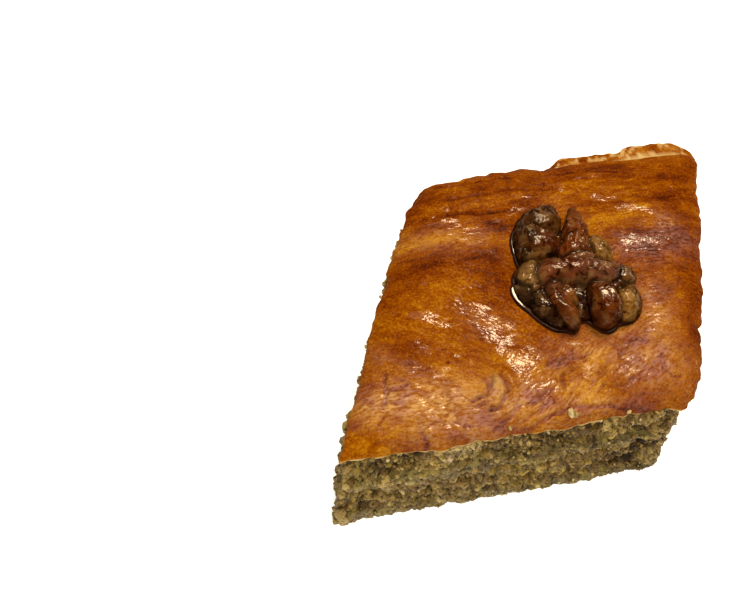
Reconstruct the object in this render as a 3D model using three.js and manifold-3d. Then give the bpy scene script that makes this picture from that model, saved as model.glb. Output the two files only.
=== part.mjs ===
// A diamond of baked nut baklava: a glazed pastry lid domed over two crumbly nut fillings that are
// parted by a soft pastry sheet, all on a pastry base, with one walnut half pressed into the lid.
// Millimetres, +Z up, +X along the front cut. The origin is under the middle of the whole piece.
import * as THREE from "three";
import { mergeVertices } from "three/addons/utils/BufferGeometryUtils.js";
import Module from "manifold-3d";

// ---- Driving dimensions -------------------------------------------------------------------
const FRONT_SIDE = 63; // length of the front and back cuts
const SLANT_SIDE = 66; // length of the left and right cuts
const ACUTE_ANGLE = THREE.MathUtils.degToRad(65.5); // corner angle at front left and back right

const BASE_TOP = 2.2; // heights of the layers above the board
const LOWER_NUT_TOP = 10.8;
const MIDDLE_TOP = 14.2;
const LID_EDGE = 20.4; // lower edge of the lid where it was cut
const LAYER_GAP = 0.3; // air left between neighbouring solids

const EDGE_ROLL = 8; // how far in from the cut the lid bends down
const EDGE_RISE = 2.5; // how much the lid rises over that bend
const CROWN_RISE = 1.2; // and from there to the middle
const LID_CUT = 0.9; // height of the pale cut face under the bend
const ROOF_RISE = 1.2; // the upper filling swells this much towards the middle, under the lid

const LIP_REACH = 3.9; // ledge of under-pastry left standing out at the back, by the right corner
const LIP_START = -0.05; // where the ledge begins and ends along the back cut, -1 left to 1 right
const LIP_STEP = 0.45; // and where it steps out from LIP_LOW of its reach to all of it
const LIP_LOW = 0.6;
const LIP_END = 0.98;
const LIP_UNDER = 0.6; // share of that reach that the layers below stand out by

const RIM_POINTS = 112; // points round each layer, shared out equally over its four cuts

// ---- Noise: repeatable, smooth, between -1 and 1 ------------------------------------------
const wrap = (v) => v - Math.floor(v);
const hash = (i, j, k) => wrap(Math.sin(i * 127.1 + j * 311.7 + k * 74.7) * 43758.5453);
const ease = (t) => t * t * (3 - 2 * t);

function noise(x, y, z) {
  const [i, j, k] = [x, y, z].map(Math.floor);
  const [u, v, w] = [ease(x - i), ease(y - j), ease(z - k)];
  const row = (b, c) => THREE.MathUtils.lerp(hash(i, j + b, k + c), hash(i + 1, j + b, k + c), u);
  const sheet = (c) => THREE.MathUtils.lerp(row(0, c), row(1, c), v);
  return 2 * THREE.MathUtils.lerp(sheet(0), sheet(1), w) - 1;
}

// A round lump round each random point of a grid with this pitch: 1 on the point, 0 between.
function lumps(x, y, z, pitch) {
  const cell = [x, y, z].map((v) => Math.floor(v / pitch));
  let nearest = 9;
  for (let n = 0; n < 27; n++) {
    const c = cell.map((v, axis) => v + (Math.floor(n / 3 ** axis) % 3) - 1);
    const at = c.map((v, axis) => v + hash(c[0] + 17 * axis, c[1], c[2]));
    nearest = Math.min(nearest, Math.hypot(x / pitch - at[0], y / pitch - at[1], z / pitch - at[2]));
  }
  return Math.max(0, 1 - nearest * nearest * 1.6);
}

// ---- Plan: (p, q) runs from -1 to 1 along the front cut and along the slanting cuts ---------
const ALONG = new THREE.Vector2(FRONT_SIDE / 2, 0);
const ACROSS = new THREE.Vector2(Math.cos(ACUTE_ANGLE), Math.sin(ACUTE_ANGLE)).multiplyScalar(SLANT_SIDE / 2);
const DEPTH = 2 * ACROSS.y; // front cut to back cut

// How much each corner is worn back, and how wide the wear is: small power, wide wear.
const CORNER_WEAR = {
  frontLeft: [0.014, 8],
  frontRight: [0.035, 8],
  backRight: [0.035, 8],
  backLeft: [0.085, 4.5],
};

function plan(p, q, shift) {
  const corner = (q < 0 ? "front" : "back") + (p < 0 ? "Left" : "Right");
  const [wear, power] = CORNER_WEAR[corner];
  const worn = 1 - wear * Math.abs(p * q) ** power;
  const outP = (p < 0 ? -shift.left : shift.right) * Math.abs(p) ** 9;
  const outQ = (q < 0 ? -shift.front : shift.back) * Math.abs(q) ** 9;
  return new THREE.Vector2()
    .addScaledVector(ALONG, p * worn + outP / ALONG.length())
    .addScaledVector(ACROSS, q * worn + outQ / ACROSS.length());
}

// The rim of the square in (p, q), anticlockwise from the front left corner.
const RIM = Array.from({ length: RIM_POINTS }, (_, i) => {
  const side = Math.floor((4 * i) / RIM_POINTS);
  const t = (2 * ((4 * i) % RIM_POINTS)) / RIM_POINTS - 1;
  return [[t, -1], [1, t], [-t, 1], [-1, -t]][side];
});

// ---- Closed body from a stack of rings, each with RIM_POINTS points --------------------------
function stackOfRings(rings) {
  const at = [];
  const faces = [];
  rings.forEach((ring) => ring.forEach((v) => at.push(v.x, v.y, v.z)));
  const centre = (ring) => {
    const mid = ring.reduce((sum, v) => sum.add(v), new THREE.Vector3()).divideScalar(RIM_POINTS);
    at.push(mid.x, mid.y, mid.z);
    return at.length / 3 - 1;
  };
  const [first, last] = [centre(rings[0]), centre(rings.at(-1))];
  const top = (rings.length - 1) * RIM_POINTS;
  for (let i = 0; i < RIM_POINTS; i++) {
    const next = (i + 1) % RIM_POINTS;
    faces.push(first, next, i, last, top + i, top + next);
    for (let row = 0; row < top; row += RIM_POINTS) {
      faces.push(row + i, row + next, row + RIM_POINTS + next);
      faces.push(row + i, row + RIM_POINTS + next, row + RIM_POINTS + i);
    }
  }
  const geometry = new THREE.BufferGeometry();
  geometry.setAttribute("position", new THREE.Float32BufferAttribute(at, 3));
  geometry.setIndex(faces);
  geometry.computeVertexNormals();
  return geometry;
}

const shrunk = (ring, share, z) => ring.map((v) => new THREE.Vector3(v.x * share, v.y * share, z));

// How far the ledge at the back stands out at a point of the rim.
function lipReach([p, q]) {
  const starts = THREE.MathUtils.smoothstep(p, LIP_START - 0.08, LIP_START + 0.08);
  const steps = THREE.MathUtils.smoothstep(p, LIP_STEP - 0.05, LIP_STEP + 0.05);
  const ends = 1 - THREE.MathUtils.smoothstep(p, LIP_END - 0.16, LIP_END + 0.08);
  const ragged = 1 + 0.12 * noise(p * 9, 2, 1);
  return q === 1 ? LIP_REACH * THREE.MathUtils.lerp(LIP_LOW, 1, steps) * starts * ends * ragged : 0;
}

// ---- Layers ------------------------------------------------------------------------------------
// A layer's cut faces stand out or in by its shift, and by crags of the given depth, made of broad
// waves and of lumps of the given pitch. What it meets above and below is flat inside CAP_INSET and
// follows the crags at the cut. Under the lid the filling swells towards the middle instead, from
// the cut to DOME_INSET. A knob of dough hangs out at the front left corner of the base.
const CAP_INSET = 0.93;
const DOME_INSET = 0.78;
const WAVE_LENGTH = 7; // of the broad waves, along the cut
const WAVE_HEIGHT = 4.5; // and up it
const WAVE_SHARE = 0.6; // of the crag depth taken by the waves
const LUMP_SHARE = 1.1; // and by the lumps
const CRAG_MEAN = 0.5; // taken off again, so that the cut stays where the shift puts it
const KNOB_WIDTH = 0.11; // in p and q

function layer({ low, high, shift, crag, lump, rows, seed, knob = 0, domed = 0 }) {
  const face = (level) => RIM.map(([p, q]) => {
    const foot = plan(p, q, shift);
    const z = THREE.MathUtils.lerp(low, high, level);
    const wave = noise(foot.x / WAVE_LENGTH + seed, foot.y / WAVE_LENGTH, z / WAVE_HEIGHT);
    const grain = lumps(foot.x + seed, foot.y, z * 1.2, lump);
    const dough = knob * Math.exp(-((p + 1) ** 2 + (q + 1) ** 2) / KNOB_WIDTH ** 2);
    const out = crag * (WAVE_SHARE * wave + LUMP_SHARE * grain - CRAG_MEAN) + dough;
    const away = foot.clone().normalize().multiplyScalar(out);
    return new THREE.Vector3(foot.x + away.x, foot.y + away.y + LIP_UNDER * lipReach([p, q]), z);
  });
  const rings = Array.from({ length: rows }, (_, i) => face(i / (rows - 1)));
  const roof = high + domed;
  return stackOfRings([
    shrunk(rings[0], CAP_INSET, low),
    ...rings,
    shrunk(rings.at(-1), domed ? DOME_INSET : CAP_INSET, roof),
  ]);
}

const basePastry = () => layer({
  low: 0, high: BASE_TOP - LAYER_GAP, rows: 3, seed: 3, crag: 0.45, lump: 5, knob: 0.9,
  shift: { front: -0.1, right: -1.2, back: 0.8, left: 0.7 },
});

const lowerNutFilling = () => layer({
  low: BASE_TOP, high: LOWER_NUT_TOP - LAYER_GAP, rows: 6, seed: 11, crag: 1.25, lump: 3.4,
  shift: { front: -0.6, right: -2.0, back: 0.3, left: 0.9 },
});

const middlePastry = () => layer({
  low: LOWER_NUT_TOP, high: MIDDLE_TOP - LAYER_GAP, rows: 3, seed: 23, crag: 0.8, lump: 4.6,
  shift: { front: -0.2, right: -2.3, back: 0.8, left: 1.1 },
});

const upperNutFilling = () => layer({
  low: MIDDLE_TOP, high: LID_EDGE - LAYER_GAP, rows: 5, seed: 37, crag: 1.1, lump: 3.2, domed: ROOF_RISE,
  shift: { front: -1.2, right: -3.0, back: 0, left: 0.7 },
});

// ---- Walnut half: lobes, each a bent and tapered ball ------------------------------------------
// at: middle of the lobe from the piece's centre and above the board; size: length, width, height;
// turn: degrees from +X of its length; taper: how much narrower its far end is; bend: sideways sag.
// The heart is the flat body that the lobes stand on.
const WALNUT_LOBES = [
  { name: "heart", at: [3.6, -1.6, 23.9], size: [18.0, 18.6, 4.8], turn: -30, taper: 0, bend: 0 },
  { name: "tall left", at: [0.5, 9.0, 25.2], size: [16.8, 8.2, 7.4], turn: 62, taper: -0.04, bend: 0.8 },
  { name: "pointed", at: [6.8, 7.2, 25.0], size: [18.0, 6.4, 6.8], turn: 68, taper: 0.66, bend: -0.3 },
  { name: "beside point", at: [10.8, 4.0, 24.6], size: [7.6, 4.8, 5.4], turn: 90, taper: 0.2, bend: 0 },
  { name: "bridge left", at: [-0.2, -1.7, 26.0], size: [9.6, 6.2, 6.4], turn: -3, taper: 0, bend: 0.4 },
  { name: "bridge right", at: [7.1, -2.5, 26.1], size: [10.8, 6.8, 6.2], turn: -10, taper: 0.05, bend: -0.4 },
  { name: "left", at: [-4.6, -0.9, 25.0], size: [8.0, 5.8, 5.8], turn: 68, taper: 0, bend: 0 },
  { name: "outer left", at: [-6.0, -4.6, 24.6], size: [7.2, 4.8, 5.0], turn: -66, taper: 0, bend: 0 },
  { name: "lower left", at: [-4.6, -7.2, 24.6], size: [10.6, 5.6, 5.4], turn: -66, taper: 0.2, bend: 0 },
  { name: "long amber", at: [-0.7, -8.0, 25.2], size: [10.8, 4.6, 6.2], turn: -74, taper: 0.1, bend: -0.4 },
  { name: "round red", at: [6.3, -8.9, 25.3], size: [10.0, 5.8, 7.2], turn: -94, taper: -0.05, bend: 0.3 },
  { name: "tan right", at: [10.9, -9.0, 24.8], size: [8.0, 5.4, 5.8], turn: -120, taper: 0, bend: 0 },
  { name: "upper right", at: [12.2, -3.3, 24.8], size: [6.0, 6.2, 5.6], turn: -50, taper: 0, bend: 0 },
];
const LOBE_SIDES = 12;
const LOBE_RINGS = 8;

function lobeGeometry({ at, size, turn, taper, bend }) {
  const ball = new THREE.SphereGeometry(0.5, LOBE_SIDES, LOBE_RINGS).rotateZ(-Math.PI / 2);
  const point = ball.attributes.position;
  for (let i = 0; i < point.count; i++) {
    const [x, y, z] = [point.getX(i), point.getY(i), point.getZ(i)];
    const waist = 1 - taper * (x + 0.5) ** 1.5;
    point.setXYZ(i, x * size[0], y * size[1] * waist + bend * (1 - 8 * x * x), z * size[2] * waist);
  }
  ball.rotateZ(THREE.MathUtils.degToRad(turn));
  return ball.translate(...at);
}

// ---- Lid ---------------------------------------------------------------------------------------
// The nut lies in a flat-bottomed dish of the lid: its middle, half-widths and depth.
const NUT_BED = { x: 3.4, y: 0.4, halfWidth: 12.2, halfLength: 15.0, depth: 1.7 };

function nutBed(x, y) {
  const reach = Math.hypot((x - NUT_BED.x) / NUT_BED.halfWidth, (y - NUT_BED.y) / NUT_BED.halfLength);
  return NUT_BED.depth * Math.exp(-(reach ** 6));
}

// Named swells and hollows of the lid: [x, y, reach along, reach across, turn in degrees, height].
const LID_FORMS = {
  shoulderLeftOfNut: [-15, 4, 15, 7, -52, 0.75],
  swellFrontRight: [17, -19, 13, 7, 20, 0.7],
  swellBackRight: [27, 13, 12, 8, 40, 0.6],
  valleyFrontOfNut: [-8, -14, 16, 4.5, -28, -0.6],
  swellFrontLeft: [-29, -22, 10, 7, 10, 0.6],
  creaseFrontLeft: [-26, -26.5, 6, 1.8, 110, -0.8],
  foldAlongBack: [-4, 23, 26, 3.2, 3, 0.5],
  blister: [-17, -21.5, 3.4, 2.6, 60, 0.9],
};

function lidForms(x, y) {
  return Object.values(LID_FORMS).reduce((sum, [cx, cy, long, wide, turn, height]) => {
    const away = new THREE.Vector2(x - cx, y - cy);
    away.rotateAround(new THREE.Vector2(), -THREE.MathUtils.degToRad(turn));
    return sum + height * Math.exp(-((away.x / long) ** 2) - (away.y / wide) ** 2);
  }, 0);
}

// Quarter of an ellipse: 0 at the cut, 1 from EDGE_ROLL inwards.
function edgeBend(distance) {
  const t = Math.min(distance / EDGE_ROLL, 1);
  return Math.sqrt(1 - (1 - t) ** 2);
}

function lidHeight(p, q, x, y) {
  const bend = edgeBend((1 - Math.abs(p)) * ALONG.x) * edgeBend(((1 - Math.abs(q)) * DEPTH) / 2);
  const crown = CROWN_RISE * (1 - p * p) * (1 - q * q);
  const soft = SOFT_RISE * noise(x / SOFT_LENGTH[0], y / SOFT_LENGTH[1], 5);
  const form = lidForms(x, y) + soft - nutBed(x, y);
  return LID_EDGE + LID_CUT + EDGE_RISE * bend + crown + bend * form;
}

const SCALLOP = 0.5; // how far the rim wanders in and out
const SCALLOP_LENGTH = 4.5;
const SOFT_RISE = 0.28; // gentle unevenness of the skin
const SOFT_LENGTH = [9, 6]; // across and along the piece
const LID_RINGS = [1, 0.985, 0.955, 0.91, 0.84, 0.74, 0.62, 0.5, 0.38, 0.26, 0.14]; // rim to middle
const LID_SHIFT = { front: -0.8, right: -0.1, back: 1.2, left: 0.9 };
const RIM_NOTCH = { q: -0.5, half: 0.05, depth: 1.1 }; // nick in the right-hand rim of the lid

function lid() {
  const scallop = ([p, q], { x, y }) => {
    const notch = p === 1 ? RIM_NOTCH.depth * Math.exp(-(((q - RIM_NOTCH.q) / RIM_NOTCH.half) ** 2)) : 0;
    return SCALLOP * noise(x / SCALLOP_LENGTH, y / SCALLOP_LENGTH, 9) - notch;
  };
  const cutRing = (z, out) => RIM.map(([p, q]) => {
    const foot = plan(p, q, LID_SHIFT);
    const away = foot.clone().normalize().multiplyScalar(scallop([p, q], foot));
    return new THREE.Vector3(foot.x + away.x, foot.y + away.y + out * lipReach([p, q]), z);
  });
  const topRing = (share) => RIM.map(([p, q]) => {
    const foot = plan(p * share, q * share, LID_SHIFT);
    const rim = plan(p, q, LID_SHIFT);
    const away = foot.clone().normalize().multiplyScalar(scallop([p, q], rim) * share ** 6);
    const z = lidHeight(p * share, q * share, foot.x, foot.y);
    return new THREE.Vector3(foot.x + away.x, foot.y + away.y, z);
  });
  const underside = cutRing(LID_EDGE, 1);
  return stackOfRings([
    shrunk(underside, DOME_INSET, LID_EDGE + ROOF_RISE),
    underside,
    cutRing(LID_EDGE + LID_CUT * 0.9, 1),
    ...LID_RINGS.map(topRing),
  ]);
}

// ---- Solids for joining and cutting --------------------------------------------------------------
const wasm = await Module();
wasm.setup();

function solidFrom(geometry) {
  const bare = geometry.clone();
  bare.deleteAttribute("normal");
  bare.deleteAttribute("uv");
  const merged = mergeVertices(bare, 1e-4);
  return new wasm.Manifold(new wasm.Mesh({
    numProp: 3,
    vertProperties: new Float32Array(merged.attributes.position.array),
    triVerts: new Uint32Array(merged.index.array),
  }));
}

function geometryFrom(solid) {
  const { vertProperties, triVerts } = solid.getMesh();
  const geometry = new THREE.BufferGeometry();
  geometry.setAttribute("position", new THREE.BufferAttribute(vertProperties, 3));
  geometry.setIndex(new THREE.BufferAttribute(triVerts, 1));
  geometry.computeVertexNormals();
  return geometry;
}

// The lobes fused into one kernel, and cut back to rest in the lid's hollow with a hair of air.
function walnutHalf(lidGeometry) {
  const lobes = WALNUT_LOBES.map((lobe) => solidFrom(lobeGeometry(lobe)));
  const kernel = lobes.reduce((all, lobe) => all.add(lobe));
  const bed = solidFrom(lidGeometry).translate([0, 0, LAYER_GAP]);
  const pieces = kernel.subtract(bed).decompose();
  return geometryFrom(pieces.reduce((big, piece) => (piece.volume() > big.volume() ? piece : big)));
}

// ---- The piece ------------------------------------------------------------------------------------
const baklava = new THREE.Group();

function addNode(name, geometry, colour, roughness) {
  const finish = new THREE.MeshStandardMaterial({ color: colour, roughness, metalness: 0 });
  const mesh = new THREE.Mesh(geometry, finish);
  mesh.name = name;
  baklava.add(mesh);
}

const lidGeometry = lid();
addNode("base_pastry", basePastry(), 0x9c8455, 0.8);
addNode("lower_nut_filling", lowerNutFilling(), 0x806647, 0.9);
addNode("middle_pastry", middlePastry(), 0x9a8a62, 0.8);
addNode("upper_nut_filling", upperNutFilling(), 0x866c4a, 0.9);
addNode("glazed_lid", lidGeometry, 0xb5651d, 0.3);
addNode("walnut_half", walnutHalf(lidGeometry), 0x4f2f18, 0.35);

const extent = new THREE.Box3().setFromObject(baklava);
const middle = extent.getCenter(new THREE.Vector3());
baklava.position.set(-middle.x, -middle.y, -extent.min.z);

export default baklava;
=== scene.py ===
import math

import bmesh
import bpy
import numpy as np
from mathutils import Matrix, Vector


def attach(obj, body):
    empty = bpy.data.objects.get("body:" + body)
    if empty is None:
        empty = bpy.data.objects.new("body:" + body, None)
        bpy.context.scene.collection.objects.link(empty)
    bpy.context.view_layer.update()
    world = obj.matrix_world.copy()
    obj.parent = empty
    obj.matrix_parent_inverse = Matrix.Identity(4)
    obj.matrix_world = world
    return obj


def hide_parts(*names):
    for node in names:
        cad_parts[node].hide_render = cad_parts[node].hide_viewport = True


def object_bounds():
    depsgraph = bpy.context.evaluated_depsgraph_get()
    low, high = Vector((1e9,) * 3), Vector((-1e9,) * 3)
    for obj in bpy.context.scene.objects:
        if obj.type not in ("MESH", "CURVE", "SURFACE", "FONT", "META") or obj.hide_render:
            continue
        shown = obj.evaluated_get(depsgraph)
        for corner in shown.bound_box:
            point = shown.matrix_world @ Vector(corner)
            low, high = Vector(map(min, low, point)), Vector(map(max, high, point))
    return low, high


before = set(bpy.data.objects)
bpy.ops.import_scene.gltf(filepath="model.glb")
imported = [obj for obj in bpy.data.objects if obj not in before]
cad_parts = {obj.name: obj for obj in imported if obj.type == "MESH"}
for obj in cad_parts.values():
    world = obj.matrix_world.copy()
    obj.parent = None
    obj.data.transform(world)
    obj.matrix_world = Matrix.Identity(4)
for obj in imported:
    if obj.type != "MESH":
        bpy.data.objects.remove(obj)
CAD_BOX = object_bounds()

# A diamond of baked nut baklava. Lengths are in millimetres until a mesh is made, then in metres.
# Points are worked out from the middle of the diamond, which stands here in the part's frame.
MM = 0.001
DIAMOND_MIDDLE = np.array([0.959, -2.172, 0.0])
RNG = np.random.default_rng(20)

# ---- Camera ------------------------------------------------------------------------------------
CAMERA_AT = (-60.058, -96.922, 145.264)
CAMERA_DOWN = 0.88768  # how far it looks down, in radians
CAMERA_TURN = -0.27866  # turned to the right of +Y
CAMERA_ROLL = 0.08839
CAMERA_LENS = 42.34  # on a sensor 36 wide


def new_object(name, data):
    """An object in the scene that shows this mesh, lamp or camera."""
    thing = bpy.data.objects.new(name, data)
    bpy.context.scene.collection.objects.link(thing)
    return thing


def stand(thing, right, up, away, at):
    """Turns an object so that its own axes lie along right, up and away, and puts it at a point."""
    place = Matrix.Identity(4)
    for column, axis in enumerate((right, up, away, at)):
        for row in range(3):
            place[row][column] = axis[row]
    thing.matrix_world = place


def add_camera():
    """Looks along a line that is turned to the right of +Y and tipped down, then rolls about it."""
    turn, down = CAMERA_TURN, CAMERA_DOWN
    back = np.array([math.sin(turn) * math.cos(down), -math.cos(turn) * math.cos(down), math.sin(down)])
    level = np.array([math.cos(turn), math.sin(turn), 0.0])
    rise = np.cross(back, level)
    right = level * math.cos(CAMERA_ROLL) + rise * math.sin(CAMERA_ROLL)
    up = rise * math.cos(CAMERA_ROLL) - level * math.sin(CAMERA_ROLL)
    data = bpy.data.cameras.new("camera")
    data.lens = CAMERA_LENS
    data.sensor_width = 36
    data.clip_start = 0.01
    camera = new_object("camera", data)
    stand(camera, right, up, back, np.array(CAMERA_AT) * MM)
    bpy.context.scene.camera = camera


add_camera()

# ---- Driving dimensions, as in the part's source --------------------------------------------------
HALF_FRONT = 31.5
HALF_SLANT = 33.0
ACUTE_ANGLE = math.radians(65.5)
ACROSS = HALF_SLANT * np.array([math.cos(ACUTE_ANGLE), math.sin(ACUTE_ANGLE)])
HALF_DEPTH = ACROSS[1]
BASE_TOP, LOWER_NUT_TOP, MIDDLE_TOP, LID_EDGE = 2.2, 10.8, 14.2, 20.4
LAYER_GAP = 0.3
SHOWN_GAP = LAYER_GAP * 0.3  # the crumb closes most of the gap between the solids
EDGE_ROLL, EDGE_RISE, CROWN_RISE, LID_CUT, ROOF_RISE = 8.0, 2.5, 1.2, 0.9, 1.2
CAP_INSET, DOME_INSET = 0.93, 0.78  # flat and domed inner rings, as a share of the outline
# How far each corner is worn back, as a share of its reach, and the power that keeps it to the corner
CORNER_WEAR = {
    "front left": (0.014, 8), "front right": (0.035, 8),
    "back left": (0.085, 4.5), "back right": (0.035, 8),
}
# The ledge at the back: how far it stands out, where it starts and steps, its share before the
# step, where it ends, and its share lower down
LIP_REACH, LIP_START, LIP_STEP, LIP_LOW, LIP_END, LIP_UNDER = 3.9, -0.05, 0.45, 0.6, 0.98, 0.6
LID_SHIFT = {"front": -0.8, "right": -0.1, "back": 1.2, "left": 0.9}
NUT_BED = (3.4, 0.4, 12.2, 15.0, 1.7)  # middle, half width, half length, depth


# ---- Noise ---------------------------------------------------------------------------------------
def cell_random(i, j, k):
    """A repeatable number from 0 to 1 for each cell: the far digits of a large sine."""
    v = np.sin(i * 127.1 + j * 311.7 + k * 74.7) * 43758.5453
    return v - np.floor(v)


def noise(x, y, z=0.0):
    """Smooth noise from -1 to 1: random values on a cubic grid, blended with an eased weight."""
    x, y, z = np.broadcast_arrays(np.asarray(x, float), np.asarray(y, float), np.asarray(z, float))
    i, j, k = np.floor(x), np.floor(y), np.floor(z)
    u, v, w = (t * t * (3 - 2 * t) for t in (x - i, y - j, z - k))
    total = np.zeros(x.shape)
    for a, side_a in ((0, 1 - u), (1, u)):
        for b, side_b in ((0, 1 - v), (1, v)):
            for c, side_c in ((0, 1 - w), (1, w)):
                total += side_a * side_b * side_c * cell_random(i + a, j + b, k + c)
    return 2 * total - 1


def cells(x, y, z, pitch):
    """Distance over pitch to the nearest and to the second nearest random point, one point in each
    cell of that pitch, and a random number from 0 to 1 that belongs to the nearest."""
    x, y, z = (np.asarray(t, float) / pitch for t in (x, y, z))
    i, j, k = np.floor(x), np.floor(y), np.floor(z)
    near = np.full(x.shape, 9.0)
    second = np.full(x.shape, 9.0)
    mark = np.zeros(x.shape)
    for n in range(27):
        a, b, c = i + n % 3 - 1, j + n // 3 % 3 - 1, k + n // 9 - 1
        at = [t + cell_random(a + 17 * axis, b, c) for axis, t in enumerate((a, b, c))]
        far = np.sqrt((x - at[0]) ** 2 + (y - at[1]) ** 2 + (z - at[2]) ** 2)
        closer = far < near
        second = np.where(closer, near, np.minimum(second, far))
        mark = np.where(closer, cell_random(a + 5, b + 9, c + 3), mark)
        near = np.where(closer, far, near)
    return near, second, mark


def eased(t, low, high):
    """0 below low, 1 above high, and a smooth step between them."""
    t = np.clip((t - low) / (high - low), 0, 1)
    return t * t * (3 - 2 * t)


def turned(x, y, degrees):
    """The same point along and across a direction that is turned by so many degrees."""
    c, s = math.cos(math.radians(degrees)), math.sin(math.radians(degrees))
    return x * c + y * s, y * c - x * s


def rows_of(groups):
    """The rows of a table of named groups, one after another."""
    return [row for rows in groups.values() for row in rows]


def bells(x, y, forms):
    """Sum of bell-shaped swells, each (x, y, reach along, reach across, turn in degrees, height)."""
    total = np.zeros(np.shape(x))
    for cx, cy, along, across, turn, height in rows_of(forms):
        u, v = turned(x - cx, y - cy, turn)
        total += height * np.exp(-(u / along) * (u / along) - (v / across) * (v / across))
    return total


def fold(x, y, width, height, *path):
    """A fold along a polyline: its height times a bell of the distance to the line, where slow
    noise bends the line and fades it here and there."""
    nearest = np.full(np.shape(x), 99.0)
    path = np.reshape(path, (-1, 2))
    x, y = x + 0.3 * noise(x / 1.3, y / 1.3, 60), y + 0.3 * noise(x / 1.3, y / 1.3, 61)
    for (ax, ay), (bx, by) in zip(path[:-1], path[1:]):
        span = (bx - ax) ** 2 + (by - ay) ** 2
        t = np.clip(((x - ax) * (bx - ax) + (y - ay) * (by - ay)) / span, 0, 1)
        nearest = np.minimum(nearest, np.hypot(x - ax - t * (bx - ax), y - ay - t * (by - ay)))
    return height * np.exp(-(nearest / width) ** 2) * (0.75 + 0.45 * noise(x / 2.6, y / 2.6, 62))


def grain(x, y, turn, length, width, seed):
    """Noise drawn out into lines: the point is turned, divided by a length along and a width
    across, and its lines are bent by a slower noise."""
    along, across = turned(x, y, turn)
    return noise(along / length, (across + 0.9 * noise(x / 5, y / 5, seed + 40)) / width, seed)


# ---- Mesh building -----------------------------------------------------------------------------
def linear(hex_colour):
    """An sRGB hex colour as linear red, green, blue and alpha."""
    parts = [int(hex_colour[n:n + 2], 16) / 255 for n in (1, 3, 5)]
    return (*[v / 12.92 if v <= 0.04045 else ((v + 0.055) / 1.055) ** 2.4 for v in parts], 1.0)


def grid_faces(rows, columns, first=0):
    """Quads between the points of a grid that is stored row by row."""
    at = first + np.arange(rows * columns).reshape(rows, columns)
    return np.stack([at[:-1, :-1], at[:-1, 1:], at[1:, 1:], at[1:, :-1]], -1).reshape(-1, 4)


def wall_faces(lower, upper):
    """Quads between two closed rings of points, the lower and the upper, anticlockwise from above."""
    return np.stack([lower, np.roll(lower, -1), np.roll(upper, -1), upper], -1)


def fan_faces(centre, ring, up):
    """Triangles from a ring to the point in its middle, facing up or down."""
    hub = np.full(len(ring), centre)
    ends = (ring, np.roll(ring, -1)) if up else (np.roll(ring, -1), ring)
    return np.stack([hub, *ends], -1)


def ring_stack(loops, low, high):
    """Faces between closed rings from the lowest up, with a fan to the point low and one to high."""
    walls = [wall_faces(a, b) for a, b in zip(loops[:-1], loops[1:])]
    return [*walls, fan_faces(low, loops[0], up=False), fan_faces(high, loops[-1], up=True)]


def add_piece(name, points, faces, material, nodes=(), values=None, colours=None):
    """One mesh object from points in millimetres and arrays of faces, kept inside the CAD box. It
    replaces the nodes named, and carries values and colours at its points for its material."""
    low, high = (np.array(corner) for corner in CAD_BOX)
    places = np.clip((points + DIAMOND_MIDDLE) * MM, low, high)
    sizes = np.concatenate([np.full(len(f), f.shape[1]) for f in faces])
    corners = np.concatenate([f.ravel() for f in faces])
    mesh = bpy.data.meshes.new(name)
    mesh.vertices.add(len(places))
    mesh.vertices.foreach_set("co", places.astype(np.float32).ravel())
    mesh.loops.add(len(corners))
    mesh.loops.foreach_set("vertex_index", corners.astype(np.int32))
    mesh.polygons.add(len(sizes))
    mesh.polygons.foreach_set("loop_start", (np.cumsum(sizes) - sizes).astype(np.int32))
    mesh.polygons.foreach_set("use_smooth", np.ones(len(sizes), bool))
    mesh.update(calc_edges=True)
    for key, value in (values or {}).items():
        layer = mesh.attributes.new(key, "FLOAT", "POINT")
        layer.data.foreach_set("value", value.astype(np.float32))
    if colours is not None:
        layer = mesh.attributes.new("tone", "FLOAT_COLOR", "POINT")
        opaque = np.c_[colours, np.ones(len(colours))]
        layer.data.foreach_set("color", opaque.astype(np.float32).ravel())
    mesh.materials.append(material)
    piece = new_object(name, mesh)
    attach(piece, "root")
    if nodes:
        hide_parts(*nodes)


def add(tree, kind, values=None, out=None):
    """Adds a node: its settings first, then what each input, by name or number, holds or is linked
    to. Gives the output of that name, or the first."""
    new = tree.nodes.new("ShaderNode" + kind)
    for key, value in (values or {}).items():
        sockets = [s for n, s in enumerate(new.inputs) if s.enabled and key in (n, s.name)]
        if key == "stops":
            while len(new.color_ramp.elements) < len(value):
                new.color_ramp.elements.new(0.5)
            for element, (position, colour) in zip(new.color_ramp.elements, value):
                element.position = position
                element.color = linear(colour)
        elif not sockets:
            setattr(new, key, value)
        elif isinstance(value, bpy.types.NodeSocket):
            tree.links.new(value, sockets[0])
        else:
            sockets[0].default_value = value
    return next((s for s in new.outputs if s.enabled and out in (None, s.name)), None)


def new_material(name):
    """A material, its emptied node tree, and the place of each point on the object."""
    material = bpy.data.materials.new(name)
    material.use_nodes = True
    material.node_tree.nodes.clear()
    return material, material.node_tree, add(material.node_tree, "TexCoord", out="Object")


# ---- Materials -----------------------------------------------------------------------------------
# Ways that the wrinkles of the crust run, in degrees, one attribute for each
WRINKLE_RUNS = {"run_level": -2, "run_down": -38, "run_up": 30}
TINTED = {"data_type": "RGBA", "blend_type": "MULTIPLY", "Factor": 1.0}
ADD, MULTIPLY, MULTIPLY_ADD = ({"operation": kind} for kind in ("ADD", "MULTIPLY", "MULTIPLY_ADD"))


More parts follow.
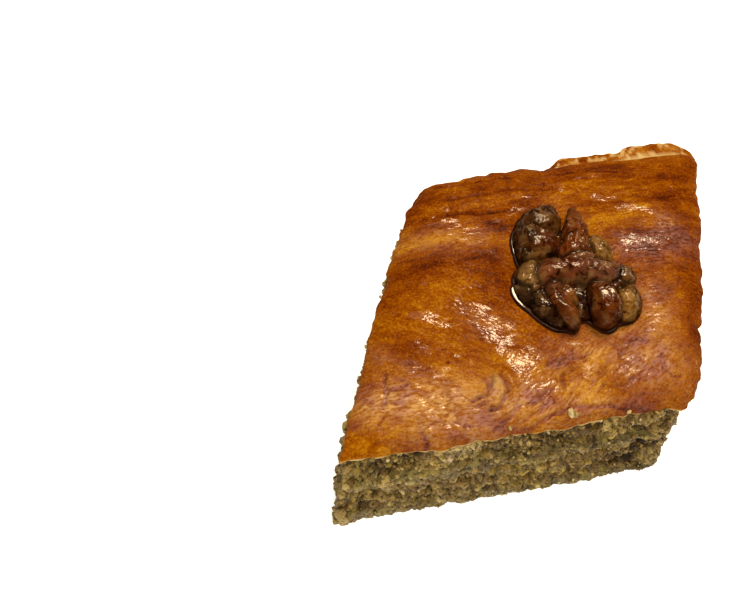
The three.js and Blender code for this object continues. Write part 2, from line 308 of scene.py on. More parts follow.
def glazed_crust():
    """Yeast pastry brushed with egg, baked brown and soaked in syrup. The egg wash bakes to gold
    where it lies thin and to red-brown where it pools, and the syrup leaves a wet satin skin with
    fine wrinkles. A pale satin sheen and the shade of the furrows are painted into the colour.
    The cut under the rim shows the pale dough."""
    material, tree, place = new_material("egg_washed_crust")
    bake, cut, calm, wet, film = (
        add(tree, "Attribute", {"attribute_name": key}, "Fac")
        for key in ("bake", "cut", "calm", "wet", "film")
    )
    # mottling of about 1.5 mm and freckles of about 0.4 mm
    mottle = add(tree, "TexNoise", {"Vector": place, "Scale": 620.0, "Detail": 4.0, "Roughness": 0.6})
    freckle = add(tree, "TexNoise", {"Vector": place, "Scale": 2500.0, "Detail": 2.0, "Roughness": 0.7})
    drift = add(tree, "Math", {**MULTIPLY_ADD, 0: mottle, 1: 0.26, 2: -0.13})
    speck = add(tree, "Math", {**MULTIPLY_ADD, 0: freckle, 1: 0.85, 2: -0.4})
    # the skin of the wash: wrinkles about 0.9 mm wide and 2 to 3 mm long that run the way it was brushed
    wrinkles, hairs = 0.0, 0.0
    for run, turn in WRINKLE_RUNS.items():
        share = add(tree, "Attribute", {"attribute_name": run}, "Fac")
        along = add(tree, "Mapping", {
            "vector_type": "TEXTURE", "Vector": place, "Rotation": (0.0, 0.0, math.radians(turn)),
            "Scale": (0.0024, 0.00095, 0.00095),
        })
        wave = add(tree, "TexNoise", {"Vector": along, "Scale": 1.0, "Detail": 1.0, "Distortion": 0.6})
        wave = add(tree, "Math", {"operation": "SUBTRACT", 0: wave, 1: 0.5})
        wave = add(tree, "Math", {"operation": "ABSOLUTE", 0: wave})
        wrinkles = add(tree, "Math", {**MULTIPLY_ADD, 0: wave, 1: share, 2: wrinkles})
        # hairs of the dried skin, half as wide as its wrinkles: they part the gloss and the painted satin
        # sheen
        hair = add(tree, "TexNoise", {"Vector": along, "Scale": 2.1, "Detail": 1.0, "Distortion": 0.5})
        hairs = add(tree, "Math", {**MULTIPLY_ADD, 0: hair, 1: share, 2: hairs})
    # painted shade and light: darker along the furrows of the wrinkles and lighter on their crests, partly
    # wash pooled in the furrows
    furrow_shade = add(tree, "Math", {**MULTIPLY_ADD, 0: wrinkles, 1: -0.6, 2: 0.06})
    baked = add(tree, "Math", {**ADD, 0: bake, 1: drift})
    baked = add(tree, "Math", {**ADD, 0: baked, 1: furrow_shade})
    baked = add(tree, "Math", {**ADD, "use_clamp": True, 0: baked, 1: speck})
    crust = add(tree, "ValToRGB", {"stops": [
        (0.0, "#b88a30"), (0.18, "#9e6a0c"), (0.4, "#804503"),
        (0.62, "#642b02"), (0.82, "#401806"), (1.0, "#220c06"),
    ], "Fac": baked})
    dough = add(tree, "ValToRGB", {"stops": [(0.3, "#a48450"), (0.7, "#c2ab78")], "Fac": mottle})
    # the painted satin sheen, parted by the hairs of the skin
    parted = add(tree, "MapRange", {"Value": hairs, 1: 0.41, 2: 0.57, 3: 0.3, 4: 1.4})
    film = add(tree, "Math", {**MULTIPLY, "use_clamp": True, 0: film, 1: parted})
    # painted satin sheen: tan over thin wash and mauve over dark wash, in blots of about 3 mm
    blot = add(tree, "TexNoise", {"Vector": place, "Scale": 330.0, "Detail": 2.0})
    blot = add(tree, "Math", {**MULTIPLY_ADD, 0: blot, 1: 0.8, 2: bake})
    sheen_tint = add(tree, "ValToRGB", {"stops": [(0.7, "#b48a54"), (0.96, "#966a60")], "Fac": blot})
    crust = add(tree, "Mix", {"data_type": "RGBA", "Factor": film, "A": crust, "B": sheen_tint})
    colour = add(tree, "Mix", {"data_type": "RGBA", "Factor": cut, "A": crust, "B": dough})
    gloss = add(tree, "MapRange", {"Value": hairs, 1: 0.41, 2: 0.5, 3: 0.15, 4: 1.2})
    gloss = add(tree, "Math", {**MULTIPLY, "use_clamp": True, 0: wet, 1: gloss})
    # pores of about 0.5 mm on the wrinkles, both levelled where the skin is calm or wet
    pore = add(tree, "TexNoise", {"Vector": place, "Scale": 1900.0, "Detail": 1.0})
    relief = add(tree, "Math", {**MULTIPLY, 0: wrinkles, 1: 2.2})
    relief = add(tree, "Math", {**MULTIPLY_ADD, 0: pore, 1: 0.55, 2: relief})
    strength = add(tree, "Math", {**MULTIPLY_ADD, 0: calm, 1: -0.35, 2: 0.95})
    strength = add(tree, "Math", {**MULTIPLY_ADD, 0: wet, 1: -0.45, 2: strength})
    bump = add(tree, "Bump", {"Strength": strength, "Distance": 0.0002, "Height": relief})
    shader = add(tree, "BsdfPrincipled", {
        "Base Color": colour, "Roughness": 0.6, "IOR": 1.45, "Specular IOR Level": 0.0, "Normal": bump,
        "Coat Weight": gloss, "Coat Roughness": 0.09, "Coat IOR": 1.45, "Coat Normal": bump,
    })
    add(tree, "OutputMaterial", {"Surface": shader})
    return material


def moist_crumb(name, dark, light, grain_size, gloss):
    """Ground walnut and pastry crumb, moist with syrup: matt, granular, a little shiny where a
    grain is wet. Each clump and grain carries its own tone in the tone attribute, with painted shade in
    the gaps of the cut faces."""
    material, tree, place = new_material(name)
    tone = add(tree, "Attribute", {"attribute_name": "tone"})
    fine = add(tree, "TexNoise", {
        "Vector": place, "Scale": 1000.0 / grain_size, "Detail": 4.0, "Roughness": 0.65,
    })
    shade = add(tree, "ValToRGB", {"stops": [(0.32, dark), (0.52, "#ffffff"), (0.75, light)], "Fac": fine})
    colour = add(tree, "Mix", {**TINTED, "A": tone, "B": shade})
    bump = add(tree, "Bump", {"Strength": 0.9, "Distance": 0.0003, "Height": fine})
    rough = add(tree, "MapRange", {"Value": fine, 1: 0.35, 2: 0.7, 3: 0.75, 4: gloss})
    shader = add(tree, "BsdfPrincipled", {
        "Base Color": colour, "Roughness": rough, "IOR": 1.42, "Specular IOR Level": 0.3, "Normal": bump,
    })
    add(tree, "OutputMaterial", {"Surface": shader})
    return material


def glazed_walnut():
    """A walnut half boiled in syrup: brown skin with painted shade in its folds and tan that also
    paints light on its upward faces, under a clear wet glaze that gives small sharp lights."""
    material, tree, place = new_material("syrup_glazed_walnut")
    tone = add(tree, "Attribute", {"attribute_name": "tone"})
    veins = add(tree, "TexNoise", {
        "Vector": place, "Scale": 700.0, "Detail": 5.0, "Roughness": 0.65, "Distortion": 0.8,
    })
    shade = add(tree, "ValToRGB", {
        "stops": [(0.34, "#5e463c"), (0.48, "#e0d2c2"), (0.66, "#ffffff")], "Fac": veins,
    })
    colour = add(tree, "Mix", {**TINTED, "A": tone, "B": shade})
    fine = add(tree, "TexNoise", {"Vector": place, "Scale": 1050.0, "Detail": 1.0, "Distortion": 0.6})
    bump = add(tree, "Bump", {"Strength": 0.85, "Distance": 0.00025, "Height": fine})
    wet = add(tree, "Attribute", {"attribute_name": "wet"}, "Fac")
    glaze = add(tree, "MapRange", {"Value": veins, 1: 0.4, 2: 0.56, 3: 0.25, 4: 1.0})
    glaze = add(tree, "Math", {**MULTIPLY, 0: glaze, 1: wet})
    shader = add(tree, "BsdfPrincipled", {
        "Base Color": colour, "Roughness": 0.38, "IOR": 1.47, "Specular IOR Level": 0.0, "Normal": bump,
        "Coat Weight": glaze, "Coat Roughness": 0.05, "Coat IOR": 1.48, "Coat Normal": bump,
    })
    add(tree, "OutputMaterial", {"Surface": shader})
    return material


def boiled_syrup():
    """Syrup that ran off the nut and set round it: nearly black where deep, smooth and wet."""
    material, tree, place = new_material("set_syrup")
    cloud = add(tree, "TexNoise", {"Vector": place, "Scale": 500.0, "Detail": 2.0})
    colour = add(tree, "ValToRGB", {"stops": [(0.3, "#120602"), (0.75, "#301406")], "Fac": cloud})
    shader = add(tree, "BsdfPrincipled", {
        "Base Color": colour, "Roughness": 0.08, "IOR": 1.48, "Coat Weight": 0.5, "Coat Roughness": 0.05,
    })
    add(tree, "OutputMaterial", {"Surface": shader})
    return material


def board():
    """A plain matt white board, paper white with the faintest cloud in it and lit a little from below."""
    material, tree, place = new_material("matt_white_board")
    cloud = add(tree, "TexNoise", {"Vector": place, "Scale": 6.0, "Detail": 2.0})
    colour = add(tree, "ValToRGB", {"stops": [(0.2, "#f8f8f7"), (0.8, "#fbfbfb")], "Fac": cloud})
    shader = add(tree, "BsdfPrincipled", {
        "Base Color": colour, "Roughness": 0.9, "Specular IOR Level": 0.1,
        "Emission Color": (0.85, 0.92, 1.0, 1.0), "Emission Strength": 0.4,
    })
    add(tree, "OutputMaterial", {"Surface": shader})
    return material


CRUST = glazed_crust()
NUT_CRUMB = moist_crumb("moist_nut_crumb", "#3e2f1c", "#fff6d8", 0.5, 0.3)
SHEET_CRUMB = moist_crumb("soaked_pastry_sheet", "#66573e", "#fff8e8", 0.6, 0.38)
WALNUT = glazed_walnut()
SYRUP = boiled_syrup()


# ---- Plan of the diamond ---------------------------------------------------------------------------
def plan(p, q, shift):
    """Foot of the point (p, q), each from -1 to 1 along the front cut and along the slanting cuts:
    p and q times the half sides, with the corners worn back and each cut moved out by its shift."""
    amount, power = (
        np.where(
            q < 0,
            np.where(p < 0, CORNER_WEAR["front left"][n], CORNER_WEAR["front right"][n]),
            np.where(p < 0, CORNER_WEAR["back left"][n], CORNER_WEAR["back right"][n]),
        ) for n in (0, 1)
    )
    worn = 1 - amount * np.abs(p * q) ** power
    out_p = np.where(p < 0, -shift["left"], shift["right"]) * np.abs(p) ** 9 / HALF_FRONT
    out_q = np.where(q < 0, -shift["front"], shift["back"]) * np.abs(q) ** 9 / HALF_SLANT
    u, v = p * worn + out_p, q * worn + out_q
    return u * HALF_FRONT + v * ACROSS[0], v * ACROSS[1]


def rim(count):
    """(p, q) of evenly shared points round the diamond, anticlockwise from the front left corner."""
    t = np.arange(count) * 4 / count
    side, s = t.astype(int), 2 * (t - t.astype(int)) - 1
    one = np.ones(count)
    return np.choose(side, [s, one, -s, -one]), np.choose(side, [-one, s, one, -s])


def lip_reach(p, q):
    """How far the ledge stands out at a point of the back cut: three smooth steps multiplied."""
    starts = eased(p, LIP_START - 0.08, LIP_START + 0.08)
    steps = eased(p, LIP_STEP - 0.05, LIP_STEP + 0.05)
    ends = 1 - eased(p, LIP_END - 0.16, LIP_END + 0.08)
    ragged = 1 + 0.12 * noise(p * 9, 2, 1)
    return np.where(q == 1, LIP_REACH * (LIP_LOW + (1 - LIP_LOW) * steps) * starts * ends * ragged, 0)


# ---- Lid -----------------------------------------------------------------------------------------
# Broad forms of the lid: (x, y, reach along, reach across, turn, height)
LID_FORMS = {
    "swells, valley and crease": (
        (-15, 4, 15, 7, -52, 0.75), (17, -19, 13, 7, 20, 0.7), (27, 13, 12, 8, 40, 0.6),
        (-8, -14, 16, 4.5, -28, -0.5), (-29, -22, 10, 7, 10, 0.6), (-26, -26.5, 6, 1.8, 110, -0.8),
    ),
    "fold along the back": ((-4, 23, 26, 3.2, 3, 0.5),),
    "blister": ((-17, -21.5, 3.4, 2.6, 60, 0.9),),
}
# Small lumps of the skin: (x, y, reach along, reach across, turn, height)
SKIN_LUMPS = {
    "front left": (
        (-38.3, -19.6, 1.8, 1.5, 20, 0.35), (-39.8, -24.8, 1.9, 1.7, 0, 0.35),
        (-38.3, -22.6, 1.3, 1, -37, 0.3), (-39, -25.6, 1, 0.8, -86, 0.3),
        (-29.8, -28.2, 1.1, 0.9, -16, 0.45), (-26, -27.7, 1.4, 1, -30, 0.4),
        (-33.4, -26.9, 1.5, 1.2, 20, 0.35), (-33.6, -20.6, 1.8, 1.6, 60, 0.3),
    ),
    "ring blister by the nut": ((-14.9, 9.1, 1, 0.9, 0, 0.45), (-15.9, 10.1, 0.8, 0.8, 0, 0.3),),
    "nut under the blister": ((-17.2, -21.4, 1.8, 0.9, 80, 0.55), (-17.9, -23.3, 1, 0.7, 20, 0.3),),
    "pits": ((14.3, -16.6, 0.7, 0.5, 10, -0.5), (-13.2, -22.9, 0.8, 0.7, 0, -0.4),),
}
# Creases and folds of the skin: (width, height, and the x, y, x, y of its path)
SKIN_FOLDS = {
    "blister": (
        (0.32, -0.6, -17.8, -19.7, -18.2, -20.7, -18.8, -22, -19.4, -23.5, -20.5, -23.1, -21.8, -23.6),
        (0.6, 0.3, -19.6, -19.8, -19.4, -21.4, -20.4, -22.6), (0.35, -0.4, -19.3, -24.2, -21.2, -24.6),
        (0.4, -0.85, -15.8, -19.5, -15.7, -21.1, -15.3, -22.8, -16.8, -24.5, -18.3, -25.6, -19.5, -25.8),
        (0.6, 0.35, -14.9, -19.3, -14.4, -21, -14.3, -22.8, -15.5, -24.8),
        (0.3, -0.4, -17.7, -19.7, -16.6, -20.3, -16.4, -21.7),
    ),
    "front left": (
        (0.6, -0.75, -31.9, -25.8, -31.7, -27.4, -31, -29.1, -30.4, -30.4),
        (0.35, -0.4, -30.9, -26.6, -29.5, -26.4, -28, -26.5),
        (0.35, -0.4, -26.7, -26.1, -24.9, -26.6, -23.6, -27.4),
        (0.3, -0.35, -29, -25.1, -27.6, -25.5, -26.4, -25.2),
        (0.3, -0.35, -28.9, -22.8, -27.2, -23.3, -25.4, -22.9),
        (0.3, -0.35, -35.6, -19.5, -33.7, -19.7, -31.9, -19.1),
        (0.3, -0.35, -35.4, -22.3, -33.5, -22.3, -32, -21.8),
        (0.35, -0.4, -40.7, -28.9, -39.5, -28.2, -38.3, -27.8),
        (0.35, -0.4, -37.6, -28.3, -36.7, -29.3, -36, -29.7),
    ),
    "front roll": (
        (0.5, -0.5, -14.6, -29.2, -12.3, -28.8, -9.4, -27.8, -7, -27.2, -2.6, -27.5, 1.5, -28.1, 6.1,
         -28.9, 9.3, -29.7), (0.8, 0.3, -12, -29.4, -6, -28.4, 0, -28.6, 8, -28.4),
    ),
    "round the fan": (
        (0.5, -0.5, -1.8, -24.5, 0.4, -22.6, 2.8, -20.7),
        (0.35, -0.45, -0.4, -25.5, 0.8, -24.7, 3.2, -24.9, 4.9, -24.7, 6.4, -23.9),
        (0.4, -0.45, 6.2, -18.9, 8, -17.3, 10.3, -16.3, 11.3, -17.3),
        (0.35, -0.45, -5.7, -21.8, -5.8, -23.3, -6.8, -24.9),
        (0.4, -0.45, 13.1, -20.3, 12.4, -23.4, 13.7, -24.7, 15.5, -24.7),
        (0.3, -0.35, -2.8, -18.9, -1, -19, 0.4, -18.6), (0.8, 0.3, -0.4, -25, 2, -22.8, 4.2, -21),
        (0.35, -0.5, -7.4, -19, -6, -18, -1.2, -18.1, 1.3, -17.5),
        (0.35, -0.4, -5.6, -21.2, -3.4, -20.3, -1.4, -19.8), (0.35, -0.35, -4.5, -25, -6.1, -26.5),
    ),
    "front fan": (
        (0.45, -0.5, -19.4, -28.4, -14.5, -25.8, -11, -24.9, -8.5, -23.7),
        (0.4, -0.35, -15, -28.4, -10.9, -26.5, -8.5, -25.7),
    ),
    "left": (
        (0.5, -0.3, -26.1, 6.5, -17.2, 5.1, -10.5, 6.6),
        (0.4, -0.35, -26.8, 8.5, -22.9, 8.1, -19.3, 8.6, -15.2, 10.3, -13.9, 10),
        (0.6, 0.3, -25.5, 7.4, -19, 7.2, -15, 9),
    ),
    "back": (
        (0.4, -0.35, -20.3, 18.4, -16.7, 18.3, -12.3, 18.4, -5.1, 17.5, -1.3, 17.7),
        (0.7, 0.25, -19, 17.2, -12, 17, -4, 16.4), (0.5, -0.35, -20, 26.4, -8, 27.6, 8, 27.4, 24, 25.8),
        (0.5, -0.25, -14, 22.3, -2, 22.9, 10, 21.4),
    ),
    "swept": (
        (2.2, 0.22, -18.6, -2.4, -14.5, -7.7, -13.2, -13, -11, -18),
        (1.8, -0.08, -20.6, -5.4, -17.4, -9.5, -16.2, -14.6),
    ),
    "left edge": (
        (0.5, -0.55, -35.4, -16.4, -35.8, -18, -36.1, -20.3, -36.6, -22.1, -37.5, -24.2, -38.4, -26.2),
        (1.1, 0.3, -29.6, -1.8, -32.4, -8, -35, -13.6),
    ),
    "right": (
        (0.5, -0.4, 19, 8.4, 24.5, 6.8, 32.5, 8.2), (0.5, -0.4, 17.5, 4.2, 22.6, 2.9, 28, 3.6),
        (0.5, -0.4, 22, 17.8, 27.8, 15.8, 34.6, 16.8),
    ),
}
# Where the wash baked darker (+) or stayed gold (-): (x, y, reach along, reach across, turn, amount)
BAKE_PATCHES = {
    "back": ((6, 26, 34, 4.5, 0, 0.16), (34, 21, 9, 7, 20, 0.08), (-22, 23, 8, 5, 0, 0.09),),
    "near the nut and the left rim": ((-7.5, -9, 3.6, 3, 0, 0.05), (-36, -29.6, 9, 1.6, 0, 0.08),),
    # darker wash along the creases, which also paints their shade
    "dark creases": (
        (29.1, 16, 3.6, 1.4, 8, 0.3), (-17, 5.6, 10, 1.7, 2, 0.12), (-11, 18, 12, 0.8, -3, 0.1),
        (-6.4, 13.5, 3, 1.5, -10, 0.3), (-9.5, 1.5, 3.2, 8, 10, 0.14),
    ),
    "right and left sides": (
        (24, 5.6, 9, 3.2, 4, 0.22), (17, 13.2, 9, 1.6, 6, -0.12), (22, 2, 10, 10, 0, 0.05),
        (-36, -12, 4, 12, 66, 0.04),
    ),
    "round the swept band": (
        (-9, -10.5, 9, 4, -35, -0.05), (-17.6, -9.8, 4.2, 1.6, -52, 0.06), (-15, -17.2, 5, 2.6, 10, -0.1),
        (1, -19.6, 4.4, 2, 62, -0.2),
    ),
    "purple": (
        (9.6, -22.4, 3.8, 2.6, 15, 0.14), (-11.8, -23.4, 2.6, 1.7, 30, 0.14),
        (-5.3, -18.7, 2.4, 0.8, 25, 0.12), (-9.3, -26.1, 2.1, 1.3, 22, 0.12), (10.3, -17, 3.4, 1, 11, 0.1),
    ),
    "low in the fan, and specks": (
        (-2.6, -24.4, 3, 0.9, 66, -0.06), (11.3, -17.3, 0.5, 0.35, 0, 0.4),
        (12.4, -15.2, 0.4, 0.3, 0, 0.35),
    ),
    # the first darkens the hollow beside the blister: painted shade
    "blister": ((-18.8, -21.6, 0.7, 1.7, 20, 0.2), (-17.4, -23, 1.6, 1.8, 0, -0.1),),
    "rims": (
        (24, -13, 14, 2.6, 66, 0.16), (21, -4, 7, 9, 20, 0.07), (6, -28.4, 9, 1.4, 2, 0.12),
        (-27, -28.5, 13, 1.5, 0, -0.04), (-41.5, -28.5, 4.5, 3, 20, -0.1), (-38, -22, 9, 1.3, 66, -0.06),
    ),
    "front": ((-29, -22, 11, 6, 0, -0.06), (-7, -25, 9, 4, 0, -0.13), (14, -19, 8, 7, 20, 0.02),),
    "specks": ((-24.2, -15.9, 0.35, 0.3, 0, 0.7), (-5.2, -19, 0.35, 0.3, 0, 0.4),),
}
# Where syrup stands on the skin and the light catches it: (x, y, reach along, reach across, turn, amount)
SYRUP_PATCHES = {
    "swept band": (
        (-18.1, -4.6, 2.2, 1.1, -40, 1.1), (-14.8, -5.6, 1.4, 0.4, -29, 0.8),
        (-15.2, -8.7, 3.1, 1.6, -35, 1.1), (-11.6, -10.2, 1, 0.6, -23, 0.6),
        (-14.5, -12.2, 2.5, 0.9, -30, 1), (-14.1, -14.8, 1.4, 0.7, -47, 1.2),
        (-13.1, -17.4, 1.2, 0.7, -58, 1.2), (-12.2, -19.7, 1.2, 0.8, -48, 0.8),
    ),
    "left": (
        (-26, -4.8, 2.7, 1.1, -12, 1), (-23.2, -7.4, 2.1, 0.5, -28, 1.2), (-27.2, -12.4, 1.7, 1, -47, 1),
        (-35.2, -10.8, 1.8, 1.1, -75, 0.9), (-30.4, -14.8, 3.6, 1, -23, 0.8),
        (-30.9, -15.9, 1.8, 0.8, -32, 0.6), (-31.1, -3, 1.1, 1, -16, 0.6),
        (-8.3, -16.1, 1.9, 0.6, -46, 0.9), (-22.3, -14.7, 0.6, 0.3, -51, 1),
        (-10.6, -17.7, 4.2, 2.3, -78, 0.45),
    ),
    "front satin": (
        (-29.5, -22.4, 8, 4, -25, 0.33), (-38.5, -22, 3, 2.4, 70, 0.42), (-22, -26.5, 9, 2.4, -5, 0.4),
        (-14, -22.5, 3, 2.6, 0, 0.38),
    ),
    "dull blister": ((-17.8, -21.9, 2.4, 1.9, 80, -0.7),),
    "upper left": (
        (-22.2, 11.4, 1.6, 1, 8, 0.9), (-23.2, 14.3, 1.2, 0.9, 8, 0.7), (-13.9, 13.7, 4.9, 2.6, -35, 0.75),
        (-19.1, 16.1, 1.9, 0.7, 9, 0.6), (-8.7, 6.5, 2, 1.2, -36, 0.9), (-7.3, 3.4, 1.3, 0.9, -68, 1),
        (-11.2, 9.4, 1.8, 0.7, -2, 0.6),
    ),
    "beads at the left": (
        (-18.2, 18.1, 1.1, 0.3, 7, 1.1), (-26.4, 3.2, 0.8, 0.25, -5, 1.1),
        (-23.8, 2.1, 0.45, 0.45, -24, 1.1), (-17.6, -0.5, 0.6, 0.25, -20, 1.1),
        (-23.7, 8.1, 0.8, 0.3, -1, 0.9),
    ),
    "back and right": (
        (-1.5, 17.4, 2.4, 0.9, 16, 0.65), (17.5, 18, 2.3, 0.9, -17, 1.2), (20.8, 14.5, 2, 1.1, -9, 1),
        (25.1, 12.3, 2.1, 0.7, -40, 1.2), (27.6, 9.3, 2.4, 2, -34, 0.8), (21.4, 4.7, 7.5, 2.3, -3, 0.7),
        (37.2, 20.3, 1.4, 0.6, -18, 1), (32.9, 18.4, 0.6, 0.7, -60, 0.9), (9.5, 21.6, 0.6, 0.5, -19, 1),
        (16.9, 24.5, 3.1, 0.3, 4, 1), (1.5, 20.7, 1.1, 0.3, -15, 1),
    ),
    "front right": (
        (9, -21.2, 7.5, 5.2, -34, 0.17), (15.5, -11, 4, 7, -20, 0.22), (-2, -23, 5, 3.4, 10, 0.28),
        (8.8, -26.5, 3.5, 1.9, -37, 0.6), (-0.8, -15.3, 1.4, 0.25, -14, 0.9),
        (-8.6, -23.3, 2.7, 1.6, -10, 0.46), (16.8, -25.3, 1, 0.9, -65, 0.8),
        (19.5, -21.5, 1.3, 0.3, 88, 0.9),
    ),
}
# Where a pale satin sheen is painted on the skin: (x, y, reach along, reach across, turn, amount)
PAINTED_SHEEN_PATCHES = {
    "front": (
        (-29, -23.3, 10, 5.2, -10, 0.68), (-38.5, -22, 3.4, 2.6, 70, 0.36),
        (-13, -25.6, 11, 3.4, -3, 0.48),
    ),
    "by the nut and right": (
        (-2, -18, 6, 4, 30, 0.24), (10.5, -20.5, 8.5, 5.4, -30, 0.5), (17, -9, 4, 7, -20, 0.36),
        (21.4, 4.7, 8.5, 3.6, -3, 0.4), (27.6, 9.3, 4, 3, -34, 0.24),
    ),
    "left": (
        (-18, 11.8, 10, 3.2, -8, 0.3), (-15.5, -9, 4, 2.4, -35, 0.16), (-35.2, -11.5, 3, 2, -75, 0.2),
        (-42.5, -28.5, 3.6, 2.4, 20, -0.2),
    ),
    "blister": ((-17.8, -23.4, 2.2, 2, 80, 0.2),),
    "mauve": (
        (9.6, -22.4, 4, 2.8, 15, 0.2), (11, -14.5, 3.6, 3, -20, 0.2), (-11.8, -23.4, 2.8, 1.8, 30, 0.26),
        (-5.3, -18.7, 3, 1.2, 25, 0.24), (-9.3, -26.1, 2.3, 1.3, 22, 0.24), (10.3, -17, 3.4, 1.1, 11, 0.2),
        (-35.6, -19.6, 1.6, 0.9, -73, 0.3), (-32.6, -26.9, 1.6, 0.9, 20, 0.26),
    ),
    "front roll and fan": (
        (0, -27.6, 9, 1.2, -6, 0.26), (1, -19.6, 4.4, 1.6, 62, 0.08), (-2.6, -24.4, 3.4, 1.8, 66, 0.22),
        (-20, -28, 8, 1.2, -3, 0.2),
    ),
}
WRINKLE_SETS = (  # turn in degrees, and where that set is strong: x, y, reach along, reach across
    (0, 0, 18, 60, 11),
    (-38, -19, -7, 13, 11),
    (35, -4, -22, 11, 8),
    (-12, -31, -22, 9, 9),
    (-8, 24, 0, 10, 10),
)
# Lines drawn out the way of the brush: their length and width
BROAD_LINES, FINE_LINES, SCRIBBLE = (6.5, 1.7), (2.8, 0.75), (1.8, 0.55)
BAKED_STREAKS, FINE_STREAKS, TEARS = (3.4, 0.55), (1.6, 0.42), (2.4, 0.7)
NUT_RINGS_AT, NUT_RINGS_WIDTH = 16, 4  # where the skin runs in rings, from the middle of the nut
MIDDLE_BROWN, MOST_SHEEN, THIN_SYRUP = 0.41, 0.85, 0.04
LID_SIDE = 281  # points along each side of the lid's grid
SCALLOP, SCALLOP_LENGTH = 0.6, 4.5  # how far the rim wanders in and out, and over what length
RAGGED, RAGGED_LENGTH = 0.4, 1.6  # the same for its ragged edge
NICK_DEPTH, NICK_AT, NICK_WIDTH = 1.1, -0.5, 0.05  # in the right-hand rim, placed along q
BARE_SPOT = (-17.2, -21.2, 0.9, 1.4)  # where the nut shows pale through the blister
# The cut under the rim, ring by ring: how far up the cut, how far it is tucked in, how pale it is
CUT_RINGS = ((0.75, -0.12, 0.0), (0.5, -0.02, 0.15), (0.3, 0.05, 0.8), (0.14, 0.12, 1.0), (0.0, 0.35, 1.0))


def patch(x, y, cx, cy, wide, deep):
    """1 at a place, falling off in a bell over a width and a depth."""
    return np.exp(-((x - cx) / wide) ** 2 - ((y - cy) / deep) ** 2)


def brushed(x, y):
    """For each set of wrinkles its number, its turn and how strong it is at a point."""
    for n, (turn, *place) in enumerate(WRINKLE_SETS):
        yield n, turn, patch(x, y, *place)


def edge_bend(distance):
    """Quarter of an ellipse: 0 at the cut, 1 from EDGE_ROLL inwards."""
    return np.sqrt(1 - (1 - np.minimum(distance / EDGE_ROLL, 1)) ** 2)


def nut_bed(x, y):
    """The flat-bottomed dish that the nut lies in: its depth times a bell of the sixth power."""
    cx, cy, wide, long, depth = NUT_BED
    return depth * np.exp(-np.hypot((x - cx) / wide, (y - cy) / long) ** 6)


def skin(x, y):
    """Fine relief of the wash: drawn-out noise in sets of directions, each strong in its own
    region, rings round the nut, and an even crinkle, all levelled by half where syrup stands."""
    relief = np.zeros(x.shape)
    weight_sum = np.full(x.shape, 0.25)
    for n, turn, weight in brushed(x, y):
        lines = 0.07 * (0.6 - 2 * np.abs(grain(x, y, turn, *BROAD_LINES, n)))
        relief += weight * (lines + 0.05 * grain(x, y, turn + 6, *FINE_LINES, n + 9))
        weight_sum += weight
    away, angle = np.hypot(x - NUT_BED[0], y - NUT_BED[1]), np.arctan2(y - NUT_BED[1], x - NUT_BED[0])
    near_nut = np.exp(-((away - NUT_RINGS_AT) / NUT_RINGS_WIDTH) ** 2)
    relief += near_nut * 0.07 * noise(angle * 5, away / 1.5, 3)
    weight_sum += near_nut
    crinkle = 0.03 * noise(x / 1.3, y / 1.3, 7) + 0.1 * noise(x / 3.6, y / 2.8, 12)
    return (relief / weight_sum * 1.3 + crinkle) * (1 - 0.5 * wetness(x, y))


def wrinkle_runs(x, y):
    """The share of each way that the wrinkles run at a point, from bells round the places where the
    wash was brushed that way."""
    shares = {run: np.full(x.shape, 0.05) for run in WRINKLE_RUNS}
    for _, turn, weight in brushed(x, y):
        run = min(WRINKLE_RUNS, key=lambda name: abs(WRINKLE_RUNS[name] - turn))
        shares[run] = shares[run] + weight
    total = sum(shares.values())
    return {run: share / total for run, share in shares.items()}


def calmness(x, y):
    """1 where the skin is smooth and 0 where it is crinkled: slow noise, and the smooth places."""
    slow = eased(noise(x / 9, y / 6, 21), -0.1, 0.7)
    gold_fan = patch(x, y, 1, -19.6, 3.2, 4)
    left_middle = patch(x, y, -20, 0, 9, 5)
    return np.clip(0.6 * slow + 0.7 * gold_fan + 0.5 * left_middle, 0, 1)


def wetness(x, y):
    """How much syrup stands on the skin, 0 to 1: a thin film, and the named patches with ragged
    edges, torn by drawn-out and fine noise."""
    torn = 0.2 * grain(x, y, -15, *TEARS, 44) + 0.16 * noise(x / 0.8, y / 0.8, 45)
    torn += 0.12 * noise(x / 3, y / 3, 46)
    return THIN_SYRUP + (1 - THIN_SYRUP) * eased(bells(x, y, SYRUP_PATCHES) + torn, 0.22, 0.58)


def painted_sheen_of(x, y):
    """How much painted satin sheen lies on the skin: the named patches, scribbled through by fine
    noise that runs the way of the wrinkles there."""
    scribble = np.zeros(x.shape)
    weight_sum = np.full(x.shape, 0.1)
    for n, turn, weight in brushed(x, y):
        scribble += weight * np.abs(grain(x, y, turn + 4, *SCRIBBLE, n + 80))
        weight_sum += weight
    patches = bells(x, y, PAINTED_SHEEN_PATCHES) * (1 + 0.4 * noise(x / 2.5, y / 2.5, 81))
    return np.clip(patches * (0.62 + 1.1 * scribble / weight_sum), 0, MOST_SHEEN)


def lid_height(p, q, x, y):
    """Height of the lid: its cut, the bend of its edge, the crown and the forms on it."""
    bend = edge_bend((1 - np.abs(p)) * HALF_FRONT) * edge_bend((1 - np.abs(q)) * HALF_DEPTH)
    crown = CROWN_RISE * (1 - p * p) * (1 - q * q)
    soft = 0.28 * noise(x / 9, y / 6, 5)
    forms = bells(x, y, LID_FORMS) + soft - nut_bed(x, y)
    small = bells(x, y, SKIN_LUMPS)
    for crease in rows_of(SKIN_FOLDS):
        small += fold(x, y, *crease)
    bedded = 1 - nut_bed(x, y) / NUT_BED[4]
    rough = skin(x, y) * (1 - 0.6 * calmness(x, y)) * eased(bend, 0.05, 0.7)
    fine = (small * eased(bend, 0.1, 0.6) + rough) * bedded
    return LID_EDGE + LID_CUT + EDGE_RISE * bend + crown + bend * forms + fine


